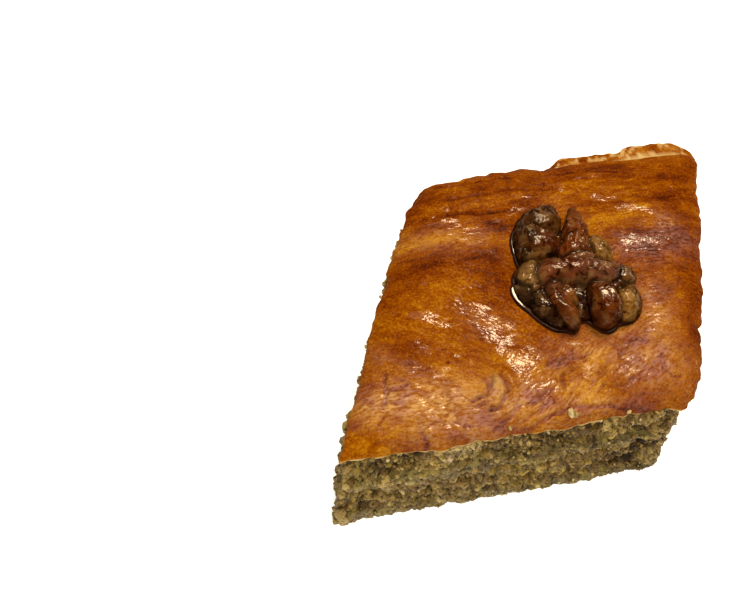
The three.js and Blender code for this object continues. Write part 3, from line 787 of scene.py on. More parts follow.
def bake_of(x, y):
    """How dark the wash baked, 0 to 1: a middle brown, named patches and drawn-out streaks, and
    darker in the creases and furrows, partly wash that pooled there and partly painted shade."""
    back, front = eased(y, -2, 8), 1 - eased(y, -8, 2)
    streaks = 0.08 * grain(x, y, 0, 11, 1.5, 31) * back
    streaks += 0.08 * grain(x, y, -38, 9, 1.5, 32) * (1 - back) * eased(-x, 0, 10)
    streaks += 0.08 * grain(x, y, 35, 7, 1.6, 33) * front * eased(x, -10, 0)
    for n, turn, weight in brushed(x, y):
        fine = 0.08 * grain(x, y, turn, *BAKED_STREAKS, n + 50)
        streaks += weight * (fine + 0.08 * grain(x, y, turn - 4, *FINE_STREAKS, n + 60))
    broad = 0.1 * noise(x / 6, y / 4, 34) + 0.06 * noise(x / 2, y / 1.6, 35)
    # painted shade in the creases, darker the deeper the crease, partly wash pooled there
    shaded_creases = np.zeros(x.shape)
    for width, height, *path in rows_of(SKIN_FOLDS):
        shaded_creases += fold(x, y, width * 0.65, max(-height, 0) * 0.5, *path)
    # painted shade and light: darker in the furrows of the skin, lighter on its crests
    shaded_furrows = -0.5 * skin(x, y)
    return np.clip(MIDDLE_BROWN + bells(x, y, BAKE_PATCHES) + streaks + broad + shaded_creases + shaded_furrows, 0.02, 1)


def lid_crust():
    """Grid over (p, q), spaced closer near the rim, at lid_height. Under its rim a cut face of five
    rings, then the underside, which dishes up over the filling and closes in the middle."""
    t = np.linspace(-1, 1, LID_SIDE)
    p, q = (g.ravel() for g in np.meshgrid(t * (1.2 - 0.2 * t * t), t * (1.2 - 0.2 * t * t)))
    share = np.maximum(np.maximum(np.abs(p), np.abs(q)), 1e-6)
    x, y = plan(p, q, LID_SHIFT)
    rim_x, rim_y = plan(p / share, q / share, LID_SHIFT)
    nick = NICK_DEPTH * np.exp(-((q / share - NICK_AT) / NICK_WIDTH) ** 2)
    wander = SCALLOP * noise(rim_x / SCALLOP_LENGTH, rim_y / SCALLOP_LENGTH, 9)
    ragged = RAGGED * noise(rim_x / RAGGED_LENGTH, rim_y / RAGGED_LENGTH, 19)
    wander = wander - np.where(np.isclose(p, share), nick, 0) + ragged
    out = wander * share ** 6 / np.maximum(np.hypot(x, y), 1e-6)
    top = np.c_[x * (1 + out), y * (1 + out), lid_height(p, q, x, y)]

    at = np.arange(LID_SIDE ** 2).reshape(LID_SIDE, LID_SIDE)
    edge = np.concatenate([at[0, :-1], at[:-1, -1], at[-1, :0:-1], at[:0:-1, 0]])
    foot = top[edge, :2]
    fx, fy = foot.T
    drip = 0.75 * noise(fx / 3.6, fy / 3.6, 15) + 0.5 * noise(fx / 1.2, fy / 1.2, 16) - 0.15
    inward = foot / np.hypot(fx, fy)[:, None]
    rings = []
    for level, tuck, pale in CUT_RINGS:
        crumble = 0.26 * noise(fx / 0.8, fy / 0.8, level * 9) * pale
        z = LID_EDGE + LID_CUT * level + drip * (1 - level) + 0.1
        rings.append(np.c_[foot - inward * (tuck + crumble)[:, None], z])
    roof = LID_EDGE + ROOF_RISE
    under = np.c_[foot * DOME_INSET, np.full(len(edge), roof)]
    points = np.concatenate([top, *rings, under, [[0, 0, roof]]])
    loops = [edge, *(LID_SIDE ** 2 + np.arange((len(rings) + 1) * len(edge)).reshape(-1, len(edge)))]
    faces = [grid_faces(LID_SIDE, LID_SIDE)]
    faces += [wall_faces(low, high) for high, low in zip(loops[:-1], loops[1:])]
    faces.append(fan_faces(len(points) - 1, loops[-1], up=False))

    hidden = np.ones(len(edge) + 1)

    def carried(on_top, part, underneath):
        """Values of the grid, a part of those at its edge on each ring, and one value underneath."""
        return np.concatenate([on_top, *[on_top[edge] * part] * len(rings), hidden * underneath])

    bare = (0.5 + 0.3 * noise(x / 0.5, y / 0.9, 83)) * patch(x, y, *BARE_SPOT)
    values = {
        "bake": carried(bake_of(x, y), 0.9, 0.3),
        "cut": np.concatenate([bare, *[np.full(len(edge), pale) for _, _, pale in CUT_RINGS], hidden]),
        "calm": carried(calmness(x, y), 1, 1),
        "wet": carried(wetness(x, y), 0.4, 0),
        # share of painted satin sheen at each point
        "film": carried(painted_sheen_of(x, y), 0.5, 0),
    }
    for run, strength in wrinkle_runs(x, y).items():
        values[run] = carried(strength, 1, 0)
    add_piece("lid_crust", points, faces, CRUST, ["glazed_lid"], values)


# ---- Ledge of under-pastry at the back -----------------------------------------------------------
LEDGE_STEPS, LEDGE_ROUND = 260, 26
LEDGE_INNER = 2.6  # how far it runs in under the lid
LEDGE_THICK, LEDGE_CURL = 0.42, 0.38  # half its thickness, and what the curled edge adds


def back_ledge():
    """A profile carried along the back cut: a flat tongue as wide as the ledge, with a thick curled
    outer edge that browned, layered like leaves where it broke. It closes to a point at its ends."""
    p = np.linspace(LIP_START - 0.08, LIP_END + 0.075, LEDGE_STEPS)[:, None]
    reach = lip_reach(p, np.ones(p.shape))
    x, y = plan(p, np.ones(p.shape), LID_SHIFT)
    turn = np.linspace(0, 2 * np.pi, LEDGE_ROUND, endpoint=False)
    c, s = np.cos(turn), np.sin(turn)
    # across runs from the hidden inner edge (-1) to the outer edge (1)
    across = np.sign(c) * np.abs(c) ** 0.7
    curl = eased(across, 0.35, 0.95)
    flakes = 0.1 * noise(x / 1.5, across * 3, 5) + 0.05 * noise(x / 0.6, across * 6, 6)
    y = y - LEDGE_INNER + (reach + LEDGE_INNER) / 2 * (across + 1) + flakes * (across > 0)
    thick = (LEDGE_THICK + LEDGE_CURL * curl) * np.minimum(1, reach / 0.9)
    z = LID_EDGE + 0.5 + curl * (0.34 + 0.22 * noise(x / 3.1, 4.0, 2.0)) * np.minimum(1, reach / 1.5)
    z = z + thick * s + flakes * (s > 0)
    rows = np.stack([x + 0 * z, y, z], -1)
    points = np.concatenate([rows.reshape(-1, 3), rows[[0, -1]].mean(1)])
    loops = np.arange(LEDGE_STEPS * LEDGE_ROUND).reshape(LEDGE_STEPS, LEDGE_ROUND)
    faces = ring_stack(loops, len(points) - 2, len(points) - 1)

    leaf = 0.5 + 0.5 * noise(x / 2.4, across * 2, 7)
    flaked = 1 - 0.85 * eased(noise(x / 0.9, across * 5, 8), 0.1, 0.5)
    edge = flaked * eased(across, -0.1, 0.35) * (0.8 + 0.9 * leaf) * (0.6 + 0.4 * (s > -0.3))
    edge = np.clip(edge, 0, 1)
    # each value along the profile, and at the points that close the ends
    carried = {
        "bake": (0.14 + 0.12 * edge + 0.38 * leaf ** 2, 0.3), "cut": (1 - edge, 0.5),
        "calm": (0.4 + 0 * edge, 1.0), "wet": (0.15 * edge, 0.0),
    }
    values = {key: np.append(along, [end, end]) for key, (along, end) in carried.items()}
    add_piece("back_ledge", points, faces, CRUST, (), values)


# ---- Layers under the lid ------------------------------------------------------------------------
# Tones of the crumb, from wet brown to pale flakes of pastry.
CRUMB_TONES = np.array([linear(tone)[:3] for tone in (
    "#4a3414", "#5e4722", "#6e572c", "#7c6436", "#88713e", "#96804a", "#ae985c", "#d0be8a",
)])
SHEET_TONES = np.array([linear(tone)[:3] for tone in (
    "#5e4d28", "#6e5c34", "#7e6e44", "#8e8054",
)])
# Lumps and hollows of the front cut: (x, height, half width, half height, out, tone from 0 to 1); the dark
# tones of the recesses and crevices are painted shade
FRONT_LUMPS = {
    "lumps": (
        (-24, 17.6, 3.6, 2, 0.9, 1), (-28.8, 12.8, 3, 0.7, 0.6, 0.8), (-14.8, 9.5, 2.6, 1.3, 0.6, 0.62),
        (-36.7, 10.5, 1.2, 1, 0.6, 0.55), (-32.6, 9.8, 1.1, 1, 0.7, 0.6),
        (-15.8, 3.8, 0.9, 0.8, 0.6, 0.75), (-16.5, 19.4, 0.7, 0.6, 0.6, 1), (-41.8, 15, 3.2, 4, 0.4, 0.72),
        (4.2, 15, 2.8, 0.6, 0.9, 1), (12.8, 5.4, 1.6, 1.3, 0.7, 0.9), (7.1, 8.4, 0.9, 0.7, 0.6, 0.95),
        (9.1, 18.2, 2.4, 1.4, 0.5, 0.8), (-6.8, 12.6, 1.4, 1.1, 0.6, 0.7), (12, 13.6, 1, 0.8, 0.6, 0.85),
    ),
    # recesses and crevices sink in and take a dark tone: painted shade
    "recesses": (
        (9.9, 11.6, 2.2, 1.2, -1, 0.15), (4.8, 5.8, 2.8, 0.8, -0.8, 0.2), (-4, 15.6, 4.5, 1, -0.35, 0.45),
        (-1.4, 19.8, 2.6, 0.6, -0.7, 0.2),
    ),
    "crevices": (
        (-35, 17.2, 1.4, 0.5, -0.9, 0.1), (-24.8, 8.5, 3.2, 0.5, -0.8, 0.15),
        (-14, 13.3, 2.2, 0.5, -0.8, 0.15),
    ),
}
SIDE_COLUMNS = 960
# Cells of the crumb: their pitch, and the width of the gaps between them as a share of it
BIG_LUMPS, CLUMPS, GRAINS = (4.4, 0.07), (2.3, 0.13), (1.1, 0.16)
GRIT_SIZE, FINEST = 0.95, 0.5
EDGE_DRAWN_IN, EDGE_BAND = 0.35, 0.5  # of a layer's upper and lower edge
KNOB_WIDTH = 0.11  # of the dough at the front left corner, along p and q
# The crumb of each kind of layer: material, palette, slot
NUT = NUT_CRUMB, CRUMB_TONES, "nut_filling"
SHEET = SHEET_CRUMB, SHEET_TONES, "pastry"


def outward(p, q):
    """Level direction away from the diamond: across the nearest cut, eased round the corners."""
    side = np.sign(p) * np.abs(p) ** 14
    end = np.sign(q) * np.abs(q) ** 14
    nx = side * math.sin(ACUTE_ANGLE)
    ny = end - side * math.cos(ACUTE_ANGLE)
    size = np.hypot(nx, ny)
    return nx / size, ny / size


def tones_of(palette, amount):
    """Colour at an amount from 0 to 1 along a palette, blended between its neighbours."""
    t = np.clip(amount, 0, 1) * (len(palette) - 1)
    low = np.minimum(t.astype(int), len(palette) - 2)
    mix = (t - low)[:, None]
    return palette[low] * (1 - mix) + palette[low + 1] * mix


def crumb_cells(x, y, z, pitch, gap_width):
    """Cells of one pitch: how near the nearest is, its random number less a half, and the gap
    between it and the next, 1 in the middle and falling off in a bell."""
    near, second, mark = cells(x, y, z, pitch)
    return near, mark - 0.5, np.exp(-((second - near) / gap_width) ** 2)


def crumb_layer(name, node, kind, low, high, rows, seed, crag, lump, shift, fine,
                knob=0.0, domed=0.0, base_tone=0.4, spread=0.52, gap=1.0):
    """Cut face over (round the diamond, height): the layer's foot moved outwards by broad waves and
    lumps, as in the solid, and by the named lumps of the front, then by three sizes of cell with
    gaps between them, by level cracks and by grit. Painted shade darkens the gaps, the cracks and
    the sunk places. It is closed above and below by an inner ring and a point in the middle."""
    material, palette, slot = kind
    p, q = rim(SIDE_COLUMNS)
    level = np.linspace(0, 1, rows)[:, None]
    z = low + (high - low) * level + 0 * p
    x, y = (t + 0 * z for t in plan(p, q, shift))
    nx, ny = outward(p, q)
    wave = noise(x / 7 + seed, y / 7, z / 4.5)
    near = cells(x + seed, y, z * 1.2, lump)[0]
    dough = knob * np.exp(-((p + 1) ** 2 + (q + 1) ** 2) / KNOB_WIDTH ** 2)
    out = crag * (0.6 * wave + 1.1 * np.maximum(0, 1 - 1.6 * near ** 2) - 0.5) + dough

    bend, bend_z = (0.5 * noise(x / 1.3, y / 1.3, z / 1.3 + more) for more in (seed, 50))
    near, clump_mark, clump_gap = crumb_cells(x + bend, y + bend + seed, z * 1.35 + bend_z, *CLUMPS)
    _, grain_mark, grain_gap = crumb_cells(x + bend_z, y - seed, z * 1.2 + bend, *GRAINS)
    wide_x, wide_y = x + bend * 1.6, y + bend_z * 1.6 - seed
    _, big_mark, big_gap = crumb_cells(wide_x, wide_y, z * 1.6 + bend, *BIG_LUMPS)
    clump = 0.5 - near ** 2 * 1.5 + 0.5 * (clump_mark + 0.5)
    grains = noise(x / FINEST, y / FINEST, z / FINEST)
    grit = noise(x / GRIT_SIZE, y / GRIT_SIZE, z / 0.8 + 30)
    crack = np.exp(-(noise(x / 3.4 + seed, y / 3.4, z / 0.9 + 11) / 0.1) ** 2)
    crack = crack * eased(noise(x / 4.5, y / 4.5 + seed, z / 2.2), -0.25, 0.35)
    small = 0.6 * clump - gap * 0.36 * clump_gap - 0.16 * gap * grain_gap + 0.3 * grain_mark
    small = small + 0.34 * grit + 0.16 * grains - 0.4 * gap * crack - 0.35 * gap * big_gap + 0.4 * big_mark

    mixed = 0.35 * clump + 0.6 * clump_mark + 0.5 * grain_mark + 0.4 * wave + 0.45 * grit + 0.3 * grains
    front = q == -1
    tone = base_tone + spread * mixed + 0.5 * spread * big_mark - 0.26 * eased(x, -18, 14) * front
    # named lumps set their tone; the dark tones of the hollows are painted shade
    for cx, cz, wide, tall, push, lump_tone in rows_of(FRONT_LUMPS):
        bell = np.exp(-(((x - cx) / wide) ** 2 + ((z - cz) / tall) ** 2) ** 1.5) * front
        out = out + push * bell
        tone = tone + (lump_tone - tone) * np.clip(bell * 1.4, 0, 0.8)
    out = out + fine * small
    # painted shade: darker in the gaps between cells, in the level cracks and wide gaps, and where the
    # face is sunk
    dark = 1.14 - 0.55 * gap * clump_gap - 0.28 * gap * grain_gap - 0.5 * np.clip(-out / 0.9, 0, 1)
    dark = np.clip(dark, 0.2, 1.12) * (1 - 0.6 * gap * crack) * (1 - 0.3 * gap * big_gap)
    yellow = 1.1 * big_mark + 0.7 * grain_mark + 0.6 * noise(x / 2.6 + seed, y / 2.6, z / 1.8)
    hue = 1 + np.clip(yellow, -0.9, 0.9).reshape(-1, 1) * [0.0, -0.01, -0.5]
    tones = tones_of(palette, tone.ravel()) * dark.reshape(-1, 1) * hue

    # the face draws in at its upper and lower edge, and stands out under the ledge
    edge = np.minimum(level, 1 - level) * (high - low)
    out = out - EDGE_DRAWN_IN * np.exp(-(edge / EDGE_BAND) ** 2) * fine
    face = np.stack([x + nx * out, y + ny * out + LIP_UNDER * lip_reach(p, q), z], -1)
    roof = high + domed
    under = np.c_[face[0, :, :2] * CAP_INSET, np.full(SIDE_COLUMNS, low)]
    over = np.c_[face[-1, :, :2] * (DOME_INSET if domed else CAP_INSET), np.full(SIDE_COLUMNS, roof)]
    points = np.concatenate([under, face.reshape(-1, 3), over, [[0, 0, low], [0, 0, roof]]])
    loops = np.arange((rows + 2) * SIDE_COLUMNS).reshape(rows + 2, SIDE_COLUMNS)
    faces = ring_stack(loops, len(points) - 2, len(points) - 1)
    plain = np.tile(palette[len(palette) // 2], (SIDE_COLUMNS, 1))
    colours = np.concatenate([plain, tones, plain, plain[:2]])
    add_piece(name, points, faces, material, [node], colours=colours)
    return face, np.stack([nx, ny], -1)


def ball(subdivisions):
    """Points and triangles of a geodesic ball of radius 1."""
    shape = bmesh.new()
    bmesh.ops.create_icosphere(shape, subdivisions=subdivisions, radius=1)
    points = np.array([v.co for v in shape.verts])
    faces = np.array([[v.index for v in f.verts] for f in shape.faces])
    shape.free()
    return points, faces


def rough_balls(centres, sizes, subdivisions, rough, squash):
    """Joined copies of a ball, one for each centre: each point moved in or out at random, each ball
    stretched along three axes, turned by a random quaternion and put in its place."""
    points, faces = ball(subdivisions)
    count = len(centres)
    radial = 1 + rough * RNG.uniform(-1, 1, (count, len(points)))
    stretch = RNG.uniform(1 - squash, 1 + squash * 0.6, (count, 1, 3)) * sizes[:, None, None]
    shaped = points[None] * radial[:, :, None] * stretch
    w, a, b, c = RNG.normal(size=(4, count))
    w, a, b, c = (t / np.sqrt(w * w + a * a + b * b + c * c) for t in (w, a, b, c))
    turn = np.stack([
        np.stack([1 - 2 * (b * b + c * c), 2 * (a * b - c * w), 2 * (a * c + b * w)], -1),
        np.stack([2 * (a * b + c * w), 1 - 2 * (a * a + c * c), 2 * (b * c - a * w)], -1),
        np.stack([2 * (a * c - b * w), 2 * (b * c + a * w), 1 - 2 * (a * a + b * b)], -1),
    ], 1)
    placed = np.einsum("nij,nkj->nki", turn, shaped) + centres[:, None, :]
    joined = faces[None] + (np.arange(count) * len(points))[:, None, None]
    return placed.reshape(-1, 3), joined.reshape(-1, 3), len(points)


def scatter_crumbs(name, layers, count, sizes, subdivisions, rough, squash, tones, sunk, band=(0, 1)):
    """Loose grains on the cut faces: at random points of a band of the faces' height, sunk by a
    share of their size."""
    places, ways = [], []
    for face, way in layers:
        rows = (1 + (face.shape[0] - 2) * RNG.uniform(*band, count)).astype(int)
        columns = RNG.integers(0, face.shape[1], count)
        places.append(face[rows, columns])
        ways.append(np.c_[way[columns], np.zeros(count)])
    radius = sizes[0] + (sizes[1] - sizes[0]) * RNG.random(count * len(layers)) ** 2
    centres = np.concatenate(places) - np.concatenate(ways) * (radius * sunk)[:, None]
    centres[:, 2] = np.clip(centres[:, 2], radius * 0.6, LID_EDGE - radius * 0.5)
    points, faces, each = rough_balls(centres, radius, subdivisions, rough, squash)
    colours = np.repeat(tones_of(CRUMB_TONES, RNG.uniform(*tones, len(radius))), each, 0)
    add_piece(name, points, [faces], NUT_CRUMB, colours=colours)


# ---- Walnut half -----------------------------------------------------------------------------------
# Lobes: x, y, z, length, width, height, turn, taper, bend, painted lit colour on top, painted shaded
# colour of the flank.
# Lobes whose names begin with the same word run into each other without a crease.
WALNUT_LOBES = {
    # the heart lies under the other lobes and is nearly black where it shows between them: painted shade
    "heart": (3.6, -1.6, 23.9, 18.0, 18.6, 4.8, -30, 0, 0, "#2a1408", "#140904"),
    "tall left": (0.5, 9.0, 24.9, 17.0, 8.3, 7.0, 62, -0.04, 0.8, "#422709", "#180c05"),
    "tall left head": (1.6, 11.2, 25.4, 9.6, 8.0, 7.2, 58, 0, 0.3, "#523210", "#281608"),
    "tall left waist": (0.2, 6.0, 25.6, 7.4, 6.0, 6.2, 30, 0, 0.2, "#52260b", "#2c1406"),
    "tall left flank": (-2.6, 6.6, 24.8, 10.6, 3.6, 5.6, 70, 0.1, 0.5, "#402812", "#180c06"),
    "pointed": (6.8, 7.2, 25.0, 18.0, 6.9, 6.9, 68, 0.5, -0.3, "#68360a", "#3c1c08"),
    "pointed foot": (5.4, 2.8, 24.9, 8.6, 7.2, 6.6, 64, 0, 0, "#68320c", "#381a08"),
    "beside point": (10.6, 4.0, 24.7, 7.8, 5.2, 5.6, 90, 0.2, 0, "#80602a", "#4a2e12"),
    "bridge left": (-0.2, -1.7, 26.0, 9.8, 6.4, 6.4, -3, 0, 0.4, "#6a3c22", "#341408"),
    "bridge middle": (3.3, -1.3, 25.8, 8.0, 5.6, 5.9, 12, 0, 0.2, "#5a2a16", "#30120a"),
    "bridge hump": (5.2, 1.4, 25.6, 7.6, 4.0, 5.6, 4, 0, 0, "#7c5434", "#4a2814"),
    "bridge right": (7.6, -2.2, 26.1, 10.6, 6.6, 6.2, -10, 0.05, -0.4, "#64402c", "#381810"),
    "left": (-4.6, -0.9, 25.1, 8.0, 5.8, 6.0, 68, 0, 0, "#8a6c3c", "#38220c"),
    "outer left": (-6.0, -4.6, 24.6, 7.2, 4.8, 5.0, -66, 0, 0, "#2c1a0c", "#100804"),
    "coil": (-4.9, -4.6, 25.4, 4.4, 3.0, 4.2, 20, 0, 0.4, "#54361a", "#200e05"),
    "lower left": (-4.3, -7.2, 24.7, 10.6, 5.2, 5.5, -66, 0.2, 0, "#382410", "#100804"),
    "amber long": (-1.3, -8.0, 25.2, 10.8, 4.8, 6.4, -76, 0.1, -0.4, "#683814", "#341806"),
    "amber back": (-1.5, -4.9, 25.5, 5.2, 4.2, 5.8, 10, 0, 0.2, "#5a3c2a", "#34180a"),
    "amber crest": (0.6, -6.2, 25.2, 5.6, 3.0, 5.4, -70, 0, 0, "#7a5024", "#442410"),
    "round red": (6.3, -8.8, 25.3, 10.2, 5.9, 7.3, -94, -0.05, 0.3, "#5e300f", "#3a1808"),
    "tan right": (10.9, -8.7, 24.8, 8.6, 6.0, 5.9, -118, 0, 0, "#86642e", "#3c220c"),
    "upper right": (12.0, -3.4, 24.9, 6.2, 6.2, 5.7, -50, 0, 0, "#5e4222", "#281308"),
    "under right": (10.0, -5.6, 24.8, 6.6, 4.2, 5.2, -30, 0, 0, "#3c1a0c", "#200c06"),
}
# How wet a lobe is, 0 to 1, where it is not fully glazed
LOBE_GLAZE = {
    "tall left": 0.6, "tall left head": 0.3, "tall left waist": 0.6, "pointed": 0.6,
    "pointed foot": 0.8, "beside point": 0.7, "bridge left": 0.6, "bridge middle": 0.6,
    "bridge right": 0.5, "left": 0.7, "tan right": 0.6,
}
LOBES = list(WALNUT_LOBES.values())
# tan of the nut's skin, laid on its upward faces: partly skin tone, partly painted light
LIT_TAN_SKIN = "#806238"
PINCH_WIDTH, PINCH_DEPTH = 0.11, 0.3  # between two lobes: a share of their size, and a length
POOL_STEPS, POOL_RINGS = 480, 60
POOL_MIDDLE = (NUT_BED[0], NUT_BED[1] + 0.4)
POOL_WIDEST = math.radians(215)  # which way it spreads furthest
POOL_RISE, POOL_ROUND, POOL_SUNK = 0.5, 0.55, 0.12  # height, rounding of its rim, how deep it lies
LOBE_FOOT = 24.6  # height at which the reach of the lobes is measured
VOXEL = 0.22  # size of the steps in which the lobes are fused


def in_lobe(points, lobe):
    """A point in a lobe's own shape: turned back, unbent and untapered, so that 1 is on its skin."""
    cx, cy, cz, long, wide, tall, turn, taper, bend = lobe[:9]
    along, across = turned(points[:, 0] - cx, points[:, 1] - cy, turn)
    u = np.clip(along / long, -0.5, 0.5)
    beyond = np.abs(along / long - u)
    waist = 1 - taper * (u + 0.5) ** 1.5
    v = (across - bend * (1 - 8 * u * u)) / (wide * waist)
    w = (points[:, 2] - cz) / (tall * waist)
    return 2 * np.sqrt((np.abs(u) + beyond) ** 2 + v * v + w * w), u, v, w


def fused_lobes():
    """Each lobe is a ball stretched, tapered and bent, and turned into place. All are fused into one
    smoothed skin: its points, the way out of it at each, and its faces."""
    points, faces = ball(4)
    u, v, w = points.T / 2
    shells = []
    for n, (cx, cy, cz, long, wide, tall, turn, taper, bend, *_) in enumerate(LOBES):
        swell = (1 - taper * (u + 0.5) ** 1.5) * (1 + 0.05 * noise(u * 5 + n, v * 5, w * 5))
        x, y = turned(u * long, v * wide * swell + bend * (1 - 8 * u * u), -turn)
        shells.append(np.c_[x + cx, y + cy, w * tall * swell + cz])
    joined = np.concatenate([faces + n * len(points) for n in range(len(LOBES))])
    mesh = bpy.data.meshes.new("kernel")
    mesh.from_pydata((np.concatenate(shells) * MM).tolist(), [], joined.tolist())
    shape = new_object("kernel", mesh)
    remesh = shape.modifiers.new("fuse", "REMESH")
    remesh.mode = "VOXEL"
    remesh.voxel_size = VOXEL * MM
    soften = shape.modifiers.new("soften", "SMOOTH")
    soften.factor = 0.5
    soften.iterations = 5
    bpy.context.view_layer.update()
    fused = shape.evaluated_get(bpy.context.evaluated_depsgraph_get()).to_mesh()
    at, normal = np.zeros((2, len(fused.vertices) * 3))
    fused.vertices.foreach_get("co", at)
    fused.vertices.foreach_get("normal", normal)
    corners = np.zeros(len(fused.loops), np.int32)
    fused.loops.foreach_get("vertex_index", corners)
    bpy.data.objects.remove(shape)
    return at.reshape(-1, 3) / MM, normal.reshape(-1, 3), corners.reshape(-1, 4)


def walnut_kernel():
    """The fused lobes, wrinkled by noise drawn out along each lobe, ribbed on the pointed one, and
    pinched where two meet. Each lobe fades from its painted lit colour on top to the painted shade
    of its flank, with tan patches on its upward faces that also paint light there, and painted
    shade in the pinches and near the lid."""
    at, normal, quads = fused_lobes()
    x, y, z = at.T
    inside = [in_lobe(at, lobe) for lobe in LOBES]
    depth = np.stack([measures[0] for measures in inside])
    order = np.argsort(depth, 0)
    first = np.take_along_axis(depth, order[:1], 0)[0]
    family = np.array([name.split()[0] for name in WALNUT_LOBES])
    second = np.where(family[:, None] == family[order[0]], 9.0, depth).min(0)
    pinch = np.exp(-((second - first) / PINCH_WIDTH) ** 2)
    wrinkle = np.zeros(len(at))
    for n, (name, (_, u, v, w)) in enumerate(zip(WALNUT_LOBES, inside)):
        long, wide, tall = LOBES[n][3:6]
        lines = 0.2 * noise(u * long / 3.0, v * wide / 1.0, w * tall / 1.0 + n)
        lines += 0.1 * noise(u * long / 1.1, v * wide / 0.6, w * tall / 0.6 + n)
        if name == "pointed":
            lines += 0.09 * np.cos(v * wide * 3.6 + 2.5 * noise(u * 6, v * 2, 1))
        wrinkle = np.where(order[0] == n, lines, wrinkle)
    lumps = 0.2 * noise(x / 2.2, y / 2.2, z / 2.2)
    veins = 0.22 * (0.35 - np.abs(noise(x / 1.5, y / 1.5, z / 1.5 + 7)))
    moved = at + normal * (wrinkle + lumps + veins - PINCH_DEPTH * pinch)[:, None]
    moved[:, 2] = np.maximum(moved[:, 2], lid_floor(moved[:, 0], moved[:, 1]) - 0.2)

    lit_tops, shaded_flanks = (np.array([linear(lobe[column])[:3] for lobe in LOBES]) for column in (9, 10))
    near = np.exp(-9 * (depth - first))
    near /= near.sum(0)
    # painted light: faces that look up take the lit top colour, the rest the shaded flank colour
    lit_from_above = eased(normal[:, 2] + 0.3 * noise(x / 1.5, y / 1.5, 4), -0.1, 0.75)
    amount = lit_from_above * (0.45 + 0.55 * eased(noise(x / 1.8, y / 1.8, z / 1.8 + 9), -0.6, 0.5))
    colours = (near.T @ lit_tops) * amount[:, None] + (near.T @ shaded_flanks) * (1 - amount)[:, None]
    # tan patches of the skin, laid only on faces that look up, so they also paint light there
    worn = 0.4 * eased(noise(x / 1.7, y / 1.3, z / 1.7 + 21), 0.12, 0.6) * lit_from_above
    colours = colours * (1 - worn)[:, None] + np.array(linear(LIT_TAN_SKIN)[:3]) * worn[:, None]
    # painted shade: darker in the pinches between lobes and low down near the lid
    low = eased(moved[:, 2] - lid_floor(moved[:, 0], moved[:, 1]), 0.1, 1.3)
    colours = colours * (1 - 0.75 * pinch)[:, None] * (0.25 + 0.75 * low)[:, None]
    glaze = {"wet": near.T @ np.array([LOBE_GLAZE.get(name, 1.0) for name in WALNUT_LOBES])}
    add_piece("walnut_kernel", moved, [quads], WALNUT, ["walnut_half"], glaze, colours)


def lid_floor(x, y):
    """Height of the lid's skin under or beside the nut."""
    v = y / ACROSS[1]
    u = (x - v * ACROSS[0]) / HALF_FRONT
    return lid_height(u, v, x, y)


def ring_mean(values, reach):
    """Mean of each value of a ring and its neighbours, up to so many steps away."""
    return np.mean([np.roll(values, n) for n in range(-reach, reach + 1)], 0)


def syrup_pool():
    """Polar grid round the nut: as far out as the lobes reach plus a margin that changes with the
    angle, its rim level with the mean height of the lid there and rounded like a drop, and closed
    underneath."""
    angle = np.linspace(0, 2 * np.pi, POOL_STEPS, endpoint=False)
    c, s = np.cos(angle), np.sin(angle)
    cx, cy = POOL_MIDDLE
    reach = np.zeros(POOL_STEPS)
    for far in np.linspace(4, 19, 151):
        spot = np.c_[cx + far * c, cy + far * s, np.full(POOL_STEPS, LOBE_FOOT)]
        inside = np.min([in_lobe(spot, lobe)[0] for lobe in LOBES], 0) < 1
        reach = np.where(inside, far, reach)
    # widest at the left and in front, none at the upper right
    side = np.cos(angle - POOL_WIDEST)
    margin = 0.16 + 0.54 * eased(side, -0.6, 0.4) + 0.2 * noise(c * 4, s * 4, 2)
    out = ring_mean(reach, 4) + margin
    r = np.linspace(0, 1, POOL_RINGS)[1:, None] ** 0.6 * out
    x, y = cx + r * c, cy + r * s
    rounding = ((r - out + POOL_ROUND) / POOL_ROUND).clip(0, 1)
    rise = POOL_RISE * np.sqrt(np.clip(1 - rounding ** 2, 0, 1)) - POOL_SUNK
    shore = ring_mean(lid_floor(cx + out * c, cy + out * s), 6)
    level = eased(r, out - 2.2, out - 0.9)
    z = lid_floor(x, y) * (1 - level) + shore * level + rise + 0.05 * noise(x / 1.1, y / 1.1, 5)
    top = np.stack([x, y, z], -1).reshape(-1, 3)
    under = top[-POOL_STEPS:] - [0, 0, 0.5]
    middle = lid_floor(np.array([cx]), np.array([cy]))[0] + 0.45
    points = np.concatenate([top, under, [[cx, cy, middle], [cx, cy, middle - 1.2]]])
    loops = np.arange(POOL_RINGS * POOL_STEPS).reshape(POOL_RINGS, POOL_STEPS)
    faces = [np.stack([a, b, np.roll(b, -1), np.roll(a, -1)], -1) for a, b in zip(loops[:-2], loops[1:-1])]
    faces.append(wall_faces(loops[-1], loops[-2]))
    faces.append(fan_faces(len(points) - 2, loops[0], up=True))
    faces.append(fan_faces(len(points) - 1, loops[-1], up=False))
    add_piece("syrup_pool", points, faces, SYRUP)


